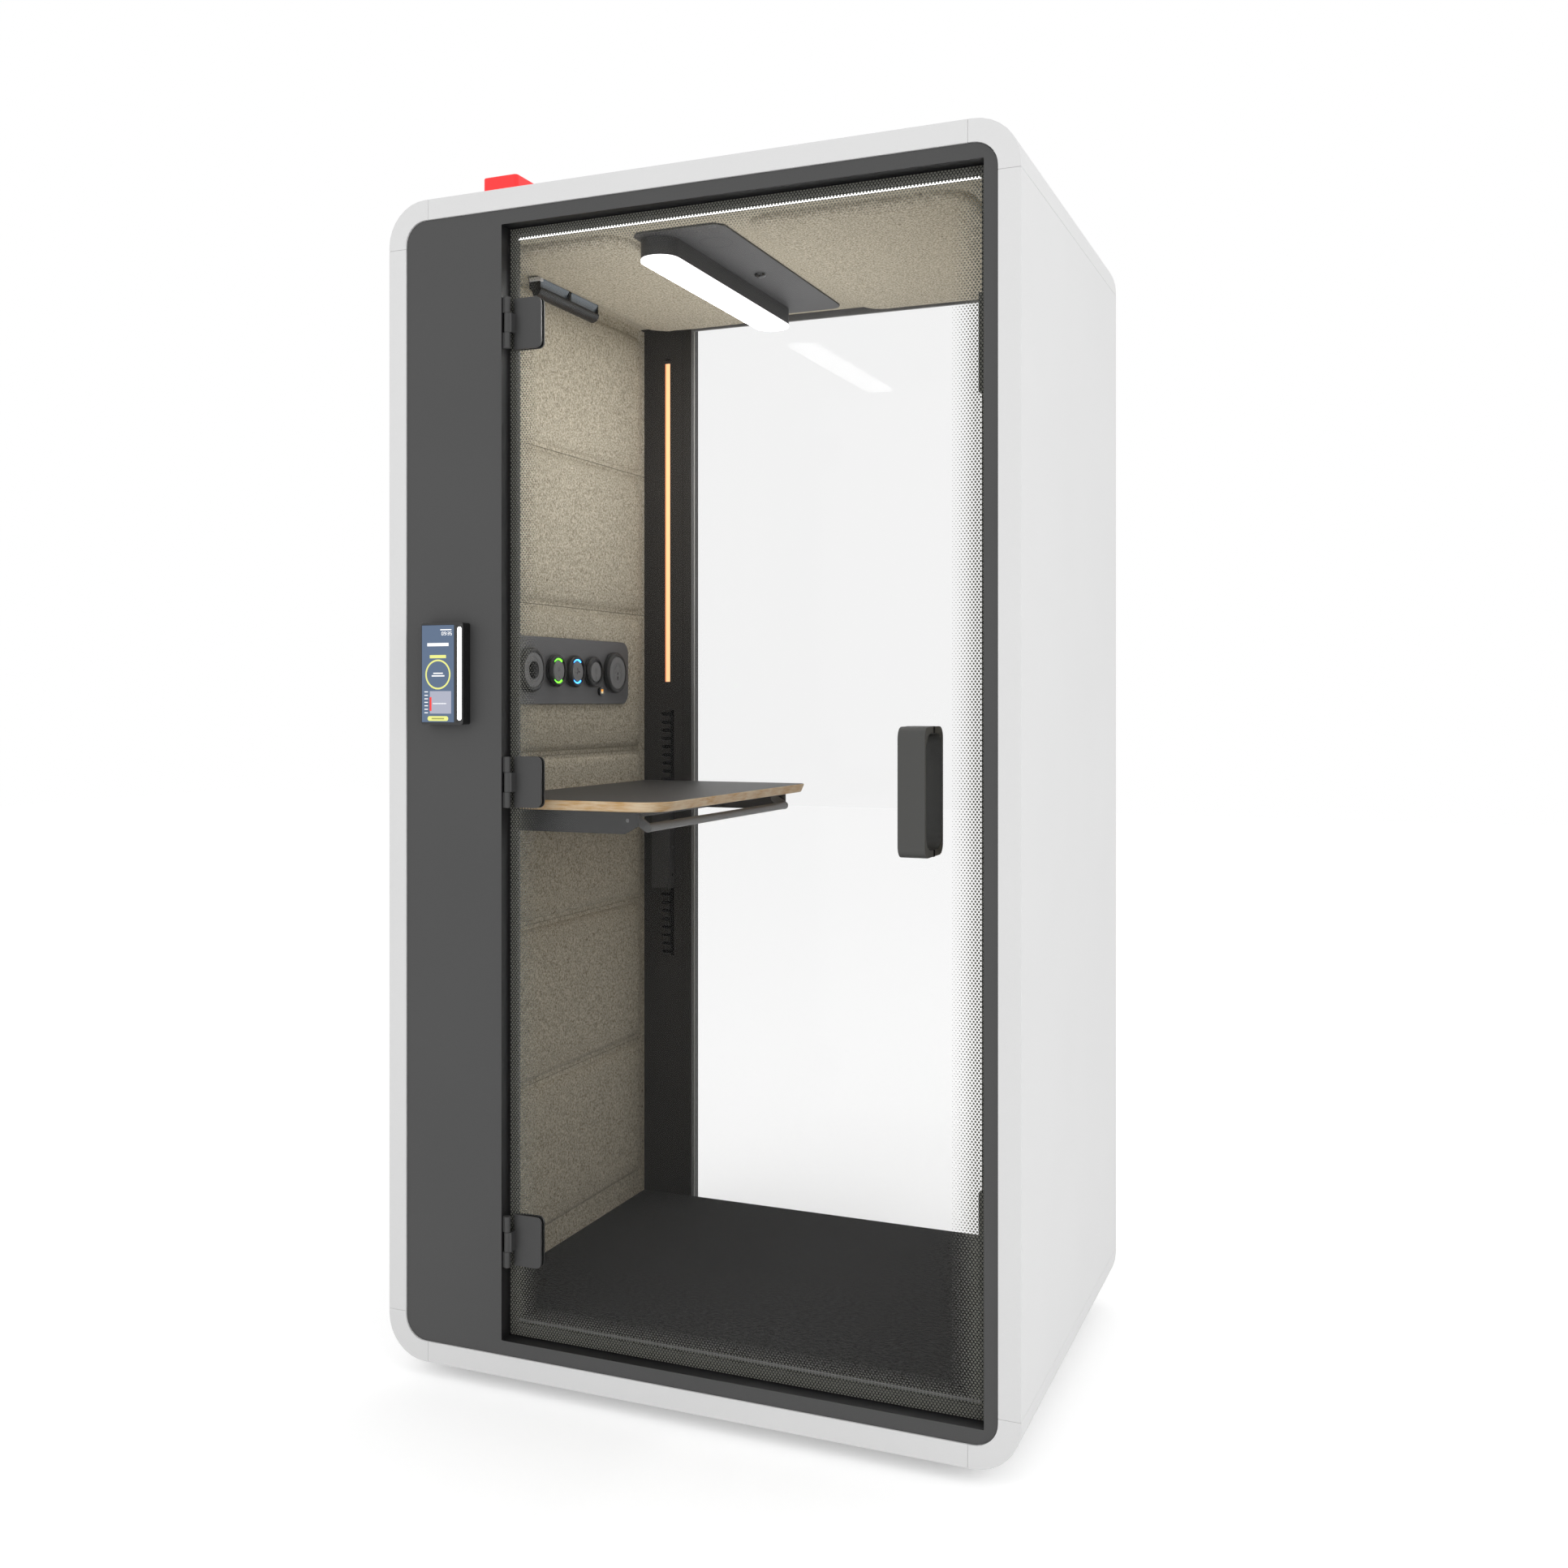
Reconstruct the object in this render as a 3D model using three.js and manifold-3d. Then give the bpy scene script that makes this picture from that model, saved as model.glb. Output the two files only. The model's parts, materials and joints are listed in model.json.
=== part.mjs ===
// A one-person acoustic office pod: a pale ring-shaped shell, a dark frame with a glass door in front,
// a glass back wall, padded walls and ceiling, and a desk that hangs on two racks.
// Millimetres, +Z up. X is to the right, the door faces -Y, the origin is on the floor below the middle.

import * as THREE from 'three';
import { mergeVertices } from 'three/addons/utils/BufferGeometryUtils.js';
import Module from 'manifold-3d';

const wasm = await Module();
wasm.setup();

// Shell: a ring of flat panels and rounded corner pieces, open at the front and the back.
const shellWidth = 1270;
const shellDepth = 880;
const shellHeight = 2272;
const shellWall = 40;
const cornerRadius = 84;
const cornerReach = 92;
const footHeight = 28;
const footRadius = 30;
const footPadHeight = 9;
const footStemRadius = 11;
const footInsetX = 150;
const footInsetY = 90;

// Air slots in the floor and roof panels, and the hole where the supply cable comes in.
const airSlotCount = 5;
const airSlotPitch = 30;
const airSlotLength = 160;
const airSlotWidth = 12;
const airSlotFromMiddleX = 300;
const airSlotFromMiddleY = 110;
const cableHoleRadius = 16;
const cableHoleFromSide = 215;
const cableHoleFromBack = 151;

// Front and back frames.
const frameRecess = 3;
const frontFrameDepth = 50;
const backFrameDepth = 32;
const frameCornerExtra = 2;
const columnWidth = 218;
const stileWidth = 25;
const railHeight = 28;

// Door and back wall glass.
const glassThickness = 8;
const doorSetback = 26;
const doorGap = 3;
const sealWidth = 12;
const sealDepth = 8.5;
const sealGap = 0.5;
const magnetLength = 170;
const magnetWidth = 18;
const magnetSpacing = 767;

// Door hinges.
const hingeSpacing = 881;
const hingeHeight = 98;
const knuckleRadius = 6.5;
const knuckleHeight = 30;
const knuckleGap = 0.5;
const knuckleFromReveal = 7.5;
const knuckleFromGlass = 17;
const pinRadius = 3;
const pinGap = 0.4;
const leafThickness = 4;
const leafWidth = 60;
const leafFromBarrel = 6.5;
const leafCorner = 12;
const rearLeafTrim = 3;
const webThickness = 5;
const frameLugDepth = 10;

// Door pulls.
const handleWidth = 49;
const handleHeight = 224;
const handleReach = 51;
const handleStrip = 7;
const handleCorner = 22;
const handleFromEdge = 95;

// Reservation tablet on the front column.
const tabletWidth = 97;
const tabletHeight = 197;
const tabletDepth = 25;
const tabletCorner = 5;
const tabletOffset = -10;
const tabletRise = 208.5;
const tabletInlay = 1.5;
const inlayGap = 0.3;
const screenWidth = 73;
const screenHeight = 187;
const lightBarWidth = 11;
const tabletMargin = 3;

// Status light on the roof.
const beaconSize = 78;
const beaconHeight = 49;
const beaconCorner = 8;
const beaconFromSide = 217;
const beaconFromFront = 60;

// Floor.
const floorRise = 32;
const floorBoard = 12;
const floorSideInset = 5;
const joistWidth = 40;
const joistCount = 3;
const joistInset = 60;
const carpetThickness = 8;

// Walls and ceiling.
const leftCavity = 52;
const wallBoard = 10;
const upholsteryBase = 24;
const rightFoam = 37;
const rightWallGap = 2;
const padCrown = 12;
const padSwell = 2;
const padEdge = 26;
const padCorner = 30;
const padEndMargin = 23;
const seamBand = 14;
const seamRises = [380, 722, 1081, 1409, 1749];
const plinthHeight = 56;
const padTopMargin = 23;
const padSink = 2;
const ceilingDrop = 34;
const ceilingBoard = 10;
const ceilingSideInset = 7;
const ceilingBackGap = 22;
const ceilingPadCrown = 15;
const ceilingPadEdge = 20;
const ceilingPadCorner = 56;
const ceilingPadInset = 62;
const leftPadVentGap = 4;
const leftPadConsoleGap = 12;
const rightPadConsoleGap = 44;
const rightPadWallGap = 44;

// Ceiling light console.
const consoleWidth = 196;
const consoleLength = 670;
const consoleThickness = 4;
const consoleCorner = 28;
const consoleFromWall = 341;
const consoleFrontInset = 75;
const lampWidth = 80;
const lampLength = 635;
const lampHeight = 36;
const lampCorner = 38;
const lampFrontInset = 20;
const diffuserHeight = 6;
const sensorRadius = 13;
const sensorHeight = 8;
const sensorFromLeft = 129;
const sensorFromFront = 345;

// Light strips.
const frontStripHeight = 10;
const frontStripDepth = 6;
const frontStripEndGap = 4;
const columnStripWidth = 13;
const columnStripDepth = 5;
const columnStripRecess = 1;
const columnStripGap = 0.3;
const columnStripFromReveal = 68.5;
const columnStripAboveRack = 69;
const columnStripTopMargin = 89;

// Air outlet above the left wall, and the blower behind it.
const ventLength = 252;
const ventHeight = 42;
const ventReach = 29;
const ventCorner = 14;
const ventOffset = -7;
const ventWindowHeight = 14;
const ventWindowFromTop = 8;
const ventWindowEnd = 12;
const ventDivider = 10;
const ventClearance = 1;
const blowerRadius = 19;
const blowerDiscThickness = 3;
const blowerBladeCount = 12;
const blowerBladeThickness = 1.6;
const blowerBladeDepth = 7;
const blowerShaftRadius = 3;
const blowerShaftGap = 0.4;
const blowerPlate = 6;
const blowerEndGap = 1;
const blowerHousingHeight = 50;
const blowerBelowVent = 60;
const blowerMotorRadius = 16;
const blowerMotorLength = 30;

// Racks cut in both columns, and the desk that hangs on them.
const rackChannelWidth = 12;
const rackNotchReach = 24;
const rackNotchHeight = 9;
const rackPitch = 20;
const rackNotchCount = 30;
const rackDepth = 8;
const rackRise = 578;
const rackFromReveal = 51;
const deskHeight = 1008;
const deskThickness = 20;
const deskWallGap = 2;
const deskWidth = 423;
const deskFrontGap = 21;
const deskBackGap = 24;
const deskFrontCorner = 60;
const deskBackCorner = 20;
const deskWallCorner = 4;
const deskFrameHeight = 42;
const deskFrameWall = 4;
const deskFrameLeftInset = 15;
const deskFrameRightInset = 52;
const deskFrameRailInset = 248;
const deskRailInset = 1;
const deskFrameChamferX = 30;
const deskFrameChamferZ = 16;
const carriageDepth = 26.5;
const carriageWidth = 48;
const carriageDrop = 240;
const carriageGap = 0.5;
const carriageTopGap = 2;
const carriageLip = 1;
const barRadius = 8.5;
const barFromEdge = 52;
const barDrop = 32;
const barArm = 5;
const barArmGap = 4;
const barFrontArmGap = 33;
const barArmRadius = 9;
const barPivotFromEdge = 76;
const barPivotDrop = 16;
const barPinRadius = 3.5;
const barPinGap = 0.4;
const barPinInset = 0.5;

// Control plate on the left wall.
const plateLength = 522;
const plateHeight = 145;
const plateThickness = 6;
const plateCorner = 28;
const plateGap = 0.3;
const plateOffset = 15;
const plateAboveDesk = 257.5;
const moduleReach = 15;
const moduleRadius = 47;
const moduleFaceRadius = 37;
const moduleOffset = 183;
const knobRadius = 35;
const knobFaceRadius = 22;
const knobOffset = 81.5;
const knobGap = 0.4;
const rimRound = 7;
const rimShoulder = 2;
const faceRecess = 1.2;
const lensRadius = 18;
const lensRise = 4;
const lensShoulderRadius = 12.5;
const lensShoulderRise = 3;
const portRadius = 9.5;
const portReach = 6;
const portOffsetY = 122;
const portOffsetZ = -43.5;

// How far a cutting shape runs past the faces it opens, and a joined piece into its neighbour.
const overrun = 1;

// Facets on round parts.
const arcFacets = 8;
const roundFacets = 24;
const smallRoundFacets = 16;
const cushionFacets = 4;
const smallFacets = 3;
const cushionEdgeAngles = [0, 15, 40, 70, 90];
const domeAngles = [90, 60, 30, 0];
const swellShare = 0.75;

// Places worked out from the sizes above.
const halfWidth = shellWidth / 2;
const halfInner = halfWidth - shellWall;
const shellBottom = footHeight;
const shellTop = shellBottom + shellHeight;
const innerBottom = shellBottom + shellWall;
const innerTop = shellTop - shellWall;

// The tablet stands proud of the shell, so the shell sits a little behind the middle of the whole pod.
const shellFront = (tabletDepth - frameRecess - shellDepth) / 2;
const shellBack = shellFront + shellDepth;
const frameFront = shellFront + frameRecess;
const frameRear = frameFront + frontFrameDepth;
const backFrameRear = shellBack - frameRecess;
const backFrameFront = backFrameRear - backFrameDepth;
const cabinMiddleY = (frameRear + backFrameFront) / 2;

const openingLeft = -halfInner + columnWidth;
const openingRight = halfInner - stileWidth;
const openingBottom = innerBottom + railHeight;
const openingTop = innerTop - railHeight;
const openingMiddle = (openingBottom + openingTop) / 2;

const glassFront = frameFront + doorSetback;
const glassRear = glassFront + glassThickness;
const barrelX = openingLeft + knuckleFromReveal;
const barrelY = glassFront - knuckleFromGlass;
const tabletCentreX = -halfInner + columnWidth / 2 + tabletOffset;
const tabletCentreZ = openingMiddle + tabletRise;

const floorTop = innerBottom + floorRise + floorBoard;
const carpetTop = floorTop + carpetThickness;
const ceilingBottom = innerTop - ceilingDrop;
const leftBoardFace = -halfInner + leftCavity + wallBoard;
const leftWallFace = leftBoardFace + upholsteryBase;
const rightWallBack = halfInner - rightWallGap;
const rightWallFace = rightWallBack - rightFoam;
const padTopPlane = leftWallFace + padCrown + padSwell;
const consoleLeft = leftWallFace + consoleFromWall;
const consoleRight = consoleLeft + consoleWidth;
const consoleBottom = ceilingBottom - consoleThickness;
const consoleFront = frameRear + consoleFrontInset;
const lampBottom = consoleBottom - lampHeight;

const ventTop = ceilingBottom;
const ventBottom = ventTop - ventHeight;
const ventCentreY = cabinMiddleY + ventOffset;
const ventSpan = [ventCentreY - ventLength / 2, ventCentreY + ventLength / 2];
const windowTop = ventTop - ventWindowFromTop;
const windowBottom = windowTop - ventWindowHeight;

const rackRight = openingLeft - rackFromReveal;
const rackBottom = carpetTop + rackRise;
const rackTop = rackBottom + rackPitch * rackNotchCount;
const columnStripX = openingLeft - columnStripFromReveal;
const columnStripBottom = rackTop + columnStripAboveRack;
const columnStripTop = openingTop - columnStripTopMargin;

const deskTopHeight = carpetTop + deskHeight;
const deskLeft = padTopPlane + deskWallGap;
const deskFront = frameRear + deskFrontGap;
const deskBack = backFrameFront - deskBackGap;
const deskRight = deskLeft + deskWidth;
const deskBottom = deskTopHeight - deskThickness;
const deskFrameFront = frameRear + carriageGap + carriageDepth;
const deskFrameBack = backFrameFront - carriageGap - carriageDepth;
const barPivotX = deskRight - barPivotFromEdge;
const barPivotZ = deskBottom - barPivotDrop;
const barX = deskRight - barFromEdge;
const barZ = deskBottom - barDrop;

const plateCentreY = cabinMiddleY + plateOffset;
const plateCentreZ = deskTopHeight + plateAboveDesk;
const plateBack = padTopPlane + plateGap;
const plateFace = plateBack + plateThickness;

const materials = {
  shell: new THREE.MeshStandardMaterial({ color: '#dedede', roughness: 0.55, metalness: 0 }),
  frame: new THREE.MeshStandardMaterial({ color: '#565656', roughness: 0.6, metalness: 0.2 }),
  glass: new THREE.MeshStandardMaterial({ color: '#e8efee', roughness: 0.05, metalness: 0, opacity: 0.3 }),
  rubber: new THREE.MeshStandardMaterial({ color: '#1b1b1b', roughness: 0.85, metalness: 0 }),
  steel: new THREE.MeshStandardMaterial({ color: '#4a4a4a', roughness: 0.45, metalness: 0.6 }),
  fabric: new THREE.MeshStandardMaterial({ color: '#978f7b', roughness: 1, metalness: 0 }),
  carpet: new THREE.MeshStandardMaterial({ color: '#353535', roughness: 1, metalness: 0 }),
  board: new THREE.MeshStandardMaterial({ color: '#b59a72', roughness: 0.8, metalness: 0 }),
  laminate: new THREE.MeshStandardMaterial({ color: '#4b4b4d', roughness: 0.6, metalness: 0 }),
  plastic: new THREE.MeshStandardMaterial({ color: '#2a2a2b', roughness: 0.45, metalness: 0 }),
  module: new THREE.MeshStandardMaterial({ color: '#7c7c7d', roughness: 0.5, metalness: 0 }),
  lamp: new THREE.MeshStandardMaterial({ color: '#ffffff', roughness: 0.4, emissive: '#ffffff' }),
  warmLamp: new THREE.MeshStandardMaterial({ color: '#f0b878', roughness: 0.4, emissive: '#f0b878' }),
  redLamp: new THREE.MeshStandardMaterial({ color: '#fc4344', roughness: 0.4, emissive: '#fc4344' }),
  screen: new THREE.MeshStandardMaterial({ color: '#72839f', roughness: 0.2, emissive: '#72839f' }),
};

const pod = new THREE.Group();

// Adds one piece of the pod to the group.
function add(name, geometry, material) {
  const mesh = new THREE.Mesh(geometry, material);
  mesh.name = name;
  pod.add(mesh);
}

function box(x, y, z) {
  const geometry = new THREE.BoxGeometry(x[1] - x[0], y[1] - y[0], z[1] - z[0]);
  return geometry.translate((x[0] + x[1]) / 2, (y[0] + y[1]) / 2, (z[0] + z[1]) / 2);
}

// Points of an arc about (u, v), from one angle to another.
function arc(u, v, radius, from, to, facets) {
  return Array.from({ length: facets + 1 }, (_, i) => {
    const angle = from + ((to - from) * i) / facets;
    return new THREE.Vector2(u + radius * Math.cos(angle), v + radius * Math.sin(angle));
  });
}

// A rectangle whose corners are rounded: radius is one number, or four from bottom left anticlockwise.
function roundedOutline(u, v, radius, facets) {
  const [a, b, c, d] = Array.isArray(radius) ? radius : [radius, radius, radius, radius];
  const quarter = Math.PI / 2;
  const corner = (cu, cv, r, turn) => {
    const sharp = [new THREE.Vector2(cu, cv)];
    return r === 0 ? sharp : arc(cu, cv, r, turn * quarter, (turn + 1) * quarter, facets);
  };
  return [
    ...corner(u[0] + a, v[0] + a, a, 2),
    ...corner(u[1] - b, v[0] + b, b, 3),
    ...corner(u[1] - c, v[1] - c, c, 0),
    ...corner(u[0] + d, v[1] - d, d, 1),
  ];
}

function roundedRectangle(u, v, radius, facets = arcFacets) {
  return new THREE.Shape(roundedOutline(u, v, radius, facets));
}

function circleHole(u, v, radius) {
  return new THREE.Path(arc(u, v, radius, 0, 2 * Math.PI, smallRoundFacets).slice(0, -1));
}

function rectangleHole(u, v) {
  const hole = new THREE.Path();
  hole.moveTo(u[0], v[0]);
  hole.lineTo(u[0], v[1]);
  hole.lineTo(u[1], v[1]);
  hole.lineTo(u[1], v[0]);
  return hole;
}

function extrude(shape, length) {
  return new THREE.ExtrudeGeometry(shape, { depth: length, bevelEnabled: false });
}

// The shape's own axes are Y and Z here, and it runs along X.
function alongX(shape, x) {
  const turn = new THREE.Matrix4().set(0, 0, 1, x[0], 1, 0, 0, 0, 0, 1, 0, 0, 0, 0, 0, 1);
  return extrude(shape, x[1] - x[0]).applyMatrix4(turn);
}

// The shape's own axes are X and Z here, and it runs along Y.
function alongY(shape, y) {
  const turn = new THREE.Matrix4().set(1, 0, 0, 0, 0, 0, -1, y[1], 0, 1, 0, 0, 0, 0, 0, 1);
  return extrude(shape, y[1] - y[0]).applyMatrix4(turn);
}

// The shape's own axes are X and Y here, and it runs along Z.
function alongZ(shape, z) {
  return extrude(shape, z[1] - z[0]).translate(0, 0, z[0]);
}

// A round piece: profile points are (radius, distance along the axis).
function turned(points, facets) {
  const profile = points.map(([radius, distance]) => new THREE.Vector2(radius, distance));
  return new THREE.LatheGeometry(profile, facets);
}

function turnedX(points, x, y, z) {
  return turned(points, roundFacets).rotateZ(-Math.PI / 2).translate(x, y, z);
}

function turnedZ(points, x, y, z) {
  return turned(points, smallRoundFacets).rotateX(Math.PI / 2).translate(x, y, z);
}

function rodZ(radius, x, y, z) {
  const geometry = new THREE.CylinderGeometry(radius, radius, z[1] - z[0], smallRoundFacets);
  return geometry.rotateX(Math.PI / 2).translate(x, y, (z[0] + z[1]) / 2);
}

function rodY(radius, x, y, z) {
  const geometry = new THREE.CylinderGeometry(radius, radius, y[1] - y[0], smallRoundFacets);
  return geometry.translate(x, (y[0] + y[1]) / 2, z);
}

function solid(geometry) {
  const bare = geometry.clone();
  bare.deleteAttribute('normal');
  bare.deleteAttribute('uv');
  const merged = mergeVertices(bare, 1e-4);
  const vertProperties = new Float32Array(merged.attributes.position.array);
  const triVerts = new Uint32Array(merged.index.array);
  return new wasm.Manifold(new wasm.Mesh({ numProp: 3, vertProperties, triVerts }));
}

function geometryOf(manifold) {
  const mesh = manifold.getMesh();
  const geometry = new THREE.BufferGeometry();
  geometry.setAttribute('position', new THREE.BufferAttribute(mesh.vertProperties, 3));
  geometry.setIndex(new THREE.BufferAttribute(mesh.triVerts, 1));
  geometry.computeVertexNormals();
  return geometry;
}

function joined(...pieces) {
  return geometryOf(pieces.map(solid).reduce((whole, piece) => whole.add(piece)));
}

function cut(piece, ...tools) {
  return geometryOf(tools.map(solid).reduce((whole, tool) => whole.subtract(tool), solid(piece)));
}

// A cushion: rounded outlines stacked from the backing outwards, drawn in at the sides and crowned in the
// middle. u, v and the height are the cushion's own axes.
function cushion(u, v, corner, edge, crown, swell, sink) {
  const rings = [[0, -sink]];
  for (const angle of cushionEdgeAngles) {
    const turn = THREE.MathUtils.degToRad(angle);
    rings.push([edge * (1 - Math.cos(turn)), crown * Math.sin(turn)]);
  }
  const shortSide = Math.min(u[1] - u[0], v[1] - v[0]) / 2;
  rings.push([(edge + shortSide) / 2, crown + swell * swellShare]);
  const outlines = rings.map(([inset, height]) => {
    const radius = Math.max(corner - inset, 1);
    const span = [[u[0] + inset, u[1] - inset], [v[0] + inset, v[1] - inset]];
    return roundedOutline(...span, radius, cushionFacets).map((point) => [point.x, point.y, height]);
  });
  const perRing = outlines[0].length;
  const middle = [(u[0] + u[1]) / 2, (v[0] + v[1]) / 2];
  const points = [...outlines.flat(), [...middle, -sink], [...middle, crown + swell]];
  const backMiddle = points.length - 2;
  const topMiddle = points.length - 1;
  const last = (outlines.length - 1) * perRing;
  const index = [];
  for (let i = 0; i < perRing; i += 1) {
    const next = (i + 1) % perRing;
    index.push(backMiddle, next, i);
    index.push(topMiddle, last + i, last + next);
    for (let ring = 0; ring < last; ring += perRing) {
      index.push(ring + i, ring + next, ring + perRing + next);
      index.push(ring + i, ring + perRing + next, ring + perRing + i);
    }
  }
  const geometry = new THREE.BufferGeometry();
  geometry.setAttribute('position', new THREE.Float32BufferAttribute(points.flat(), 3));
  geometry.setIndex(index);
  geometry.computeVertexNormals();
  return geometry;
}

// Shell panels, corner pieces and feet.
function makeShell() {
  const depth = [shellFront, shellBack];
  const panelX = [-halfWidth + cornerReach, halfWidth - cornerReach];
  const panelZ = [shellBottom + cornerReach, shellTop - cornerReach];
  const slots = (centreX, z) => Array.from({ length: airSlotCount }, (_, i) => {
    const y = cabinMiddleY + airSlotFromMiddleY + (i - (airSlotCount - 1) / 2) * airSlotPitch;
    const x = [centreX - airSlotLength / 2, centreX + airSlotLength / 2];
    return box(x, [y - airSlotWidth / 2, y + airSlotWidth / 2], [z[0] - overrun, z[1] + overrun]);
  });
  const roofZ = [innerTop, shellTop];
  const floorZ = [shellBottom, innerBottom];
  const cableHoleX = -halfWidth + cableHoleFromSide;
  const cableHoleY = shellBack - cableHoleFromBack;
  const cableHoleZ = [floorZ[0] - overrun, floorZ[1] + overrun];
  const cableHole = rodZ(cableHoleRadius, cableHoleX, cableHoleY, cableHoleZ);
  add('shell_roof', cut(box(panelX, depth, roofZ), ...slots(airSlotFromMiddleX, roofZ)), materials.shell);
  const base = cut(box(panelX, depth, floorZ), cableHole, ...slots(-airSlotFromMiddleX, floorZ));
  add('shell_base', base, materials.shell);
  add('shell_left', box([-halfWidth, -halfInner], depth, panelZ), materials.shell);
  add('shell_right', box([halfInner, halfWidth], depth, panelZ), materials.shell);
  for (const [side, signX] of [['left', -1], ['right', 1]]) {
    for (const [level, signZ] of [['lower', -1], ['upper', 1]]) {
      add(`shell_corner_${level}_${side}`, alongY(cornerShape(signX, signZ), depth), materials.shell);
    }
  }
  for (const [side, signX] of [['left', -1], ['right', 1]]) {
    for (const [end, y] of [['front', shellFront + footInsetY], ['back', shellBack - footInsetY]]) {
      add(`foot_${end}_${side}`, footSolid(signX * (halfWidth - footInsetX), y), materials.rubber);
    }
  }
}

function cornerShape(signX, signZ) {
  const outer = cornerRadius;
  const inner = cornerRadius - shellWall;
  const middleZ = (shellBottom + shellTop) / 2;
  const halfHeight = shellHeight / 2;
  const place = (x, z) => new THREE.Vector2(signX * (halfWidth - x), middleZ + signZ * (halfHeight - z));
  const points = [place(0, cornerReach)];
  for (let i = 0; i <= arcFacets; i += 1) {
    const turn = (Math.PI / 2) * (i / arcFacets);
    points.push(place(outer * (1 - Math.cos(turn)), outer * (1 - Math.sin(turn))));
  }
  points.push(place(cornerReach, 0), place(cornerReach, shellWall));
  for (let i = arcFacets; i >= 0; i -= 1) {
    const turn = (Math.PI / 2) * (i / arcFacets);
    points.push(place(outer - inner * Math.cos(turn), outer - inner * Math.sin(turn)));
  }
  points.push(place(shellWall, cornerReach));
  return new THREE.Shape(points);
}

function footSolid(x, y) {
  const profile = [
    [0, 0],
    [footRadius, 0],
    [footRadius, footPadHeight],
    [footStemRadius, footPadHeight],
    [footStemRadius, footHeight],
    [0, footHeight],
  ];
  return turnedZ(profile, x, y, 0);
}

// The comb-shaped slot that the desk's hooks go in: a channel with notches to its left.
function rackShape() {
  const channelLeft = rackRight - rackChannelWidth;
  const notchLeft = channelLeft - rackNotchReach;
  const half = rackNotchHeight / 2;
  const points = [[rackRight, rackBottom], [rackRight, rackTop], [channelLeft, rackTop]];
  for (let i = rackNotchCount - 1; i >= 0; i -= 1) {
    const z = rackBottom + rackPitch * (i + 0.5);
    points.push([channelLeft, z + half], [notchLeft + half, z + half], [notchLeft, z]);
    points.push([notchLeft + half, z - half], [channelLeft, z - half]);
  }
  points.push([channelLeft, rackBottom]);
  return new THREE.Shape(points.map(([x, z]) => new THREE.Vector2(x, z)));
}

function frameShape() {
  const radius = cornerRadius - shellWall + frameCornerExtra;
  const shape = roundedRectangle([-halfInner, halfInner], [innerBottom, innerTop], radius);
  shape.holes.push(rectangleHole([openingLeft, openingRight], [openingBottom, openingTop]));
  return shape;
}

function makeFrames() {
  const frontRack = alongY(rackShape(), [frameRear - rackDepth, frameRear + overrun]);
  add('front_frame', cut(alongY(frameShape(), [frameFront, frameRear]), frontRack), materials.frame);
  const backRack = alongY(rackShape(), [backFrameFront - overrun, backFrameFront + rackDepth]);
  const stripHalf = columnStripWidth / 2 + columnStripGap;
  const grooveX = [columnStripX - stripHalf, columnStripX + stripHalf];
  const grooveZ = [columnStripBottom - columnStripGap, columnStripTop + columnStripGap];
  const grooveEnd = backFrameFront + columnStripRecess + columnStripDepth;
  const groove = box(grooveX, [backFrameFront - overrun, grooveEnd], grooveZ);
  const backFrame = alongY(frameShape(), [backFrameFront, backFrameRear]);
  add('back_frame', cut(backFrame, backRack, groove), materials.frame);
  const stripX = [columnStripX - columnStripWidth / 2, columnStripX + columnStripWidth / 2];
  const strip = box(stripX, [grooveEnd - columnStripDepth, grooveEnd], [columnStripBottom, columnStripTop]);
  add('column_light_strip', strip, materials.warmLamp);
  const backGlassY = [backFrameFront, backFrameFront + glassThickness];
  const backGlass = box([openingLeft, openingRight], backGlassY, [openingBottom, openingTop]);
  add('back_glass', backGlass, materials.glass);
}

// The rubber frame that the door closes on, with two thicker runs that hold the closing magnets.
function makeDoorSeal() {
  const sealY = [glassRear + sealGap, glassRear + sealGap + sealDepth];
  const outline = roundedRectangle([openingLeft, openingRight], [openingBottom, openingTop], 0);
  const innerX = [openingLeft + sealWidth, openingRight - sealWidth];
  outline.holes.push(rectangleHole(innerX, [openingBottom + sealWidth, openingTop - sealWidth]));
  const magnets = [-1, 1].map((sign) => {
    const z = openingMiddle + sign * magnetSpacing;
    const zSpan = [z - magnetLength / 2, z + magnetLength / 2];
    return box([openingRight - magnetWidth, openingRight], [sealY[0] + overrun, frameRear], zSpan);
  });
  add('door_seal', joined(alongY(outline, sealY), ...magnets), materials.rubber);
}

function makeDoor() {
  const glassX = [openingLeft + doorGap, openingRight - doorGap];
  const glassZ = [openingBottom + doorGap, openingTop - doorGap];
  add('door_glass', box(glassX, [glassFront, glassRear], glassZ), materials.glass);
  const levels = [['lower', -hingeSpacing], ['middle', 0], ['upper', hingeSpacing]];
  for (const [level, offset] of levels) {
    makeHinge(level, openingMiddle + offset);
  }
  add('handle_outer', handleSolid(glassFront, -1), materials.steel);
  add('handle_inner', handleSolid(glassRear, 1), materials.steel);
}

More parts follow.
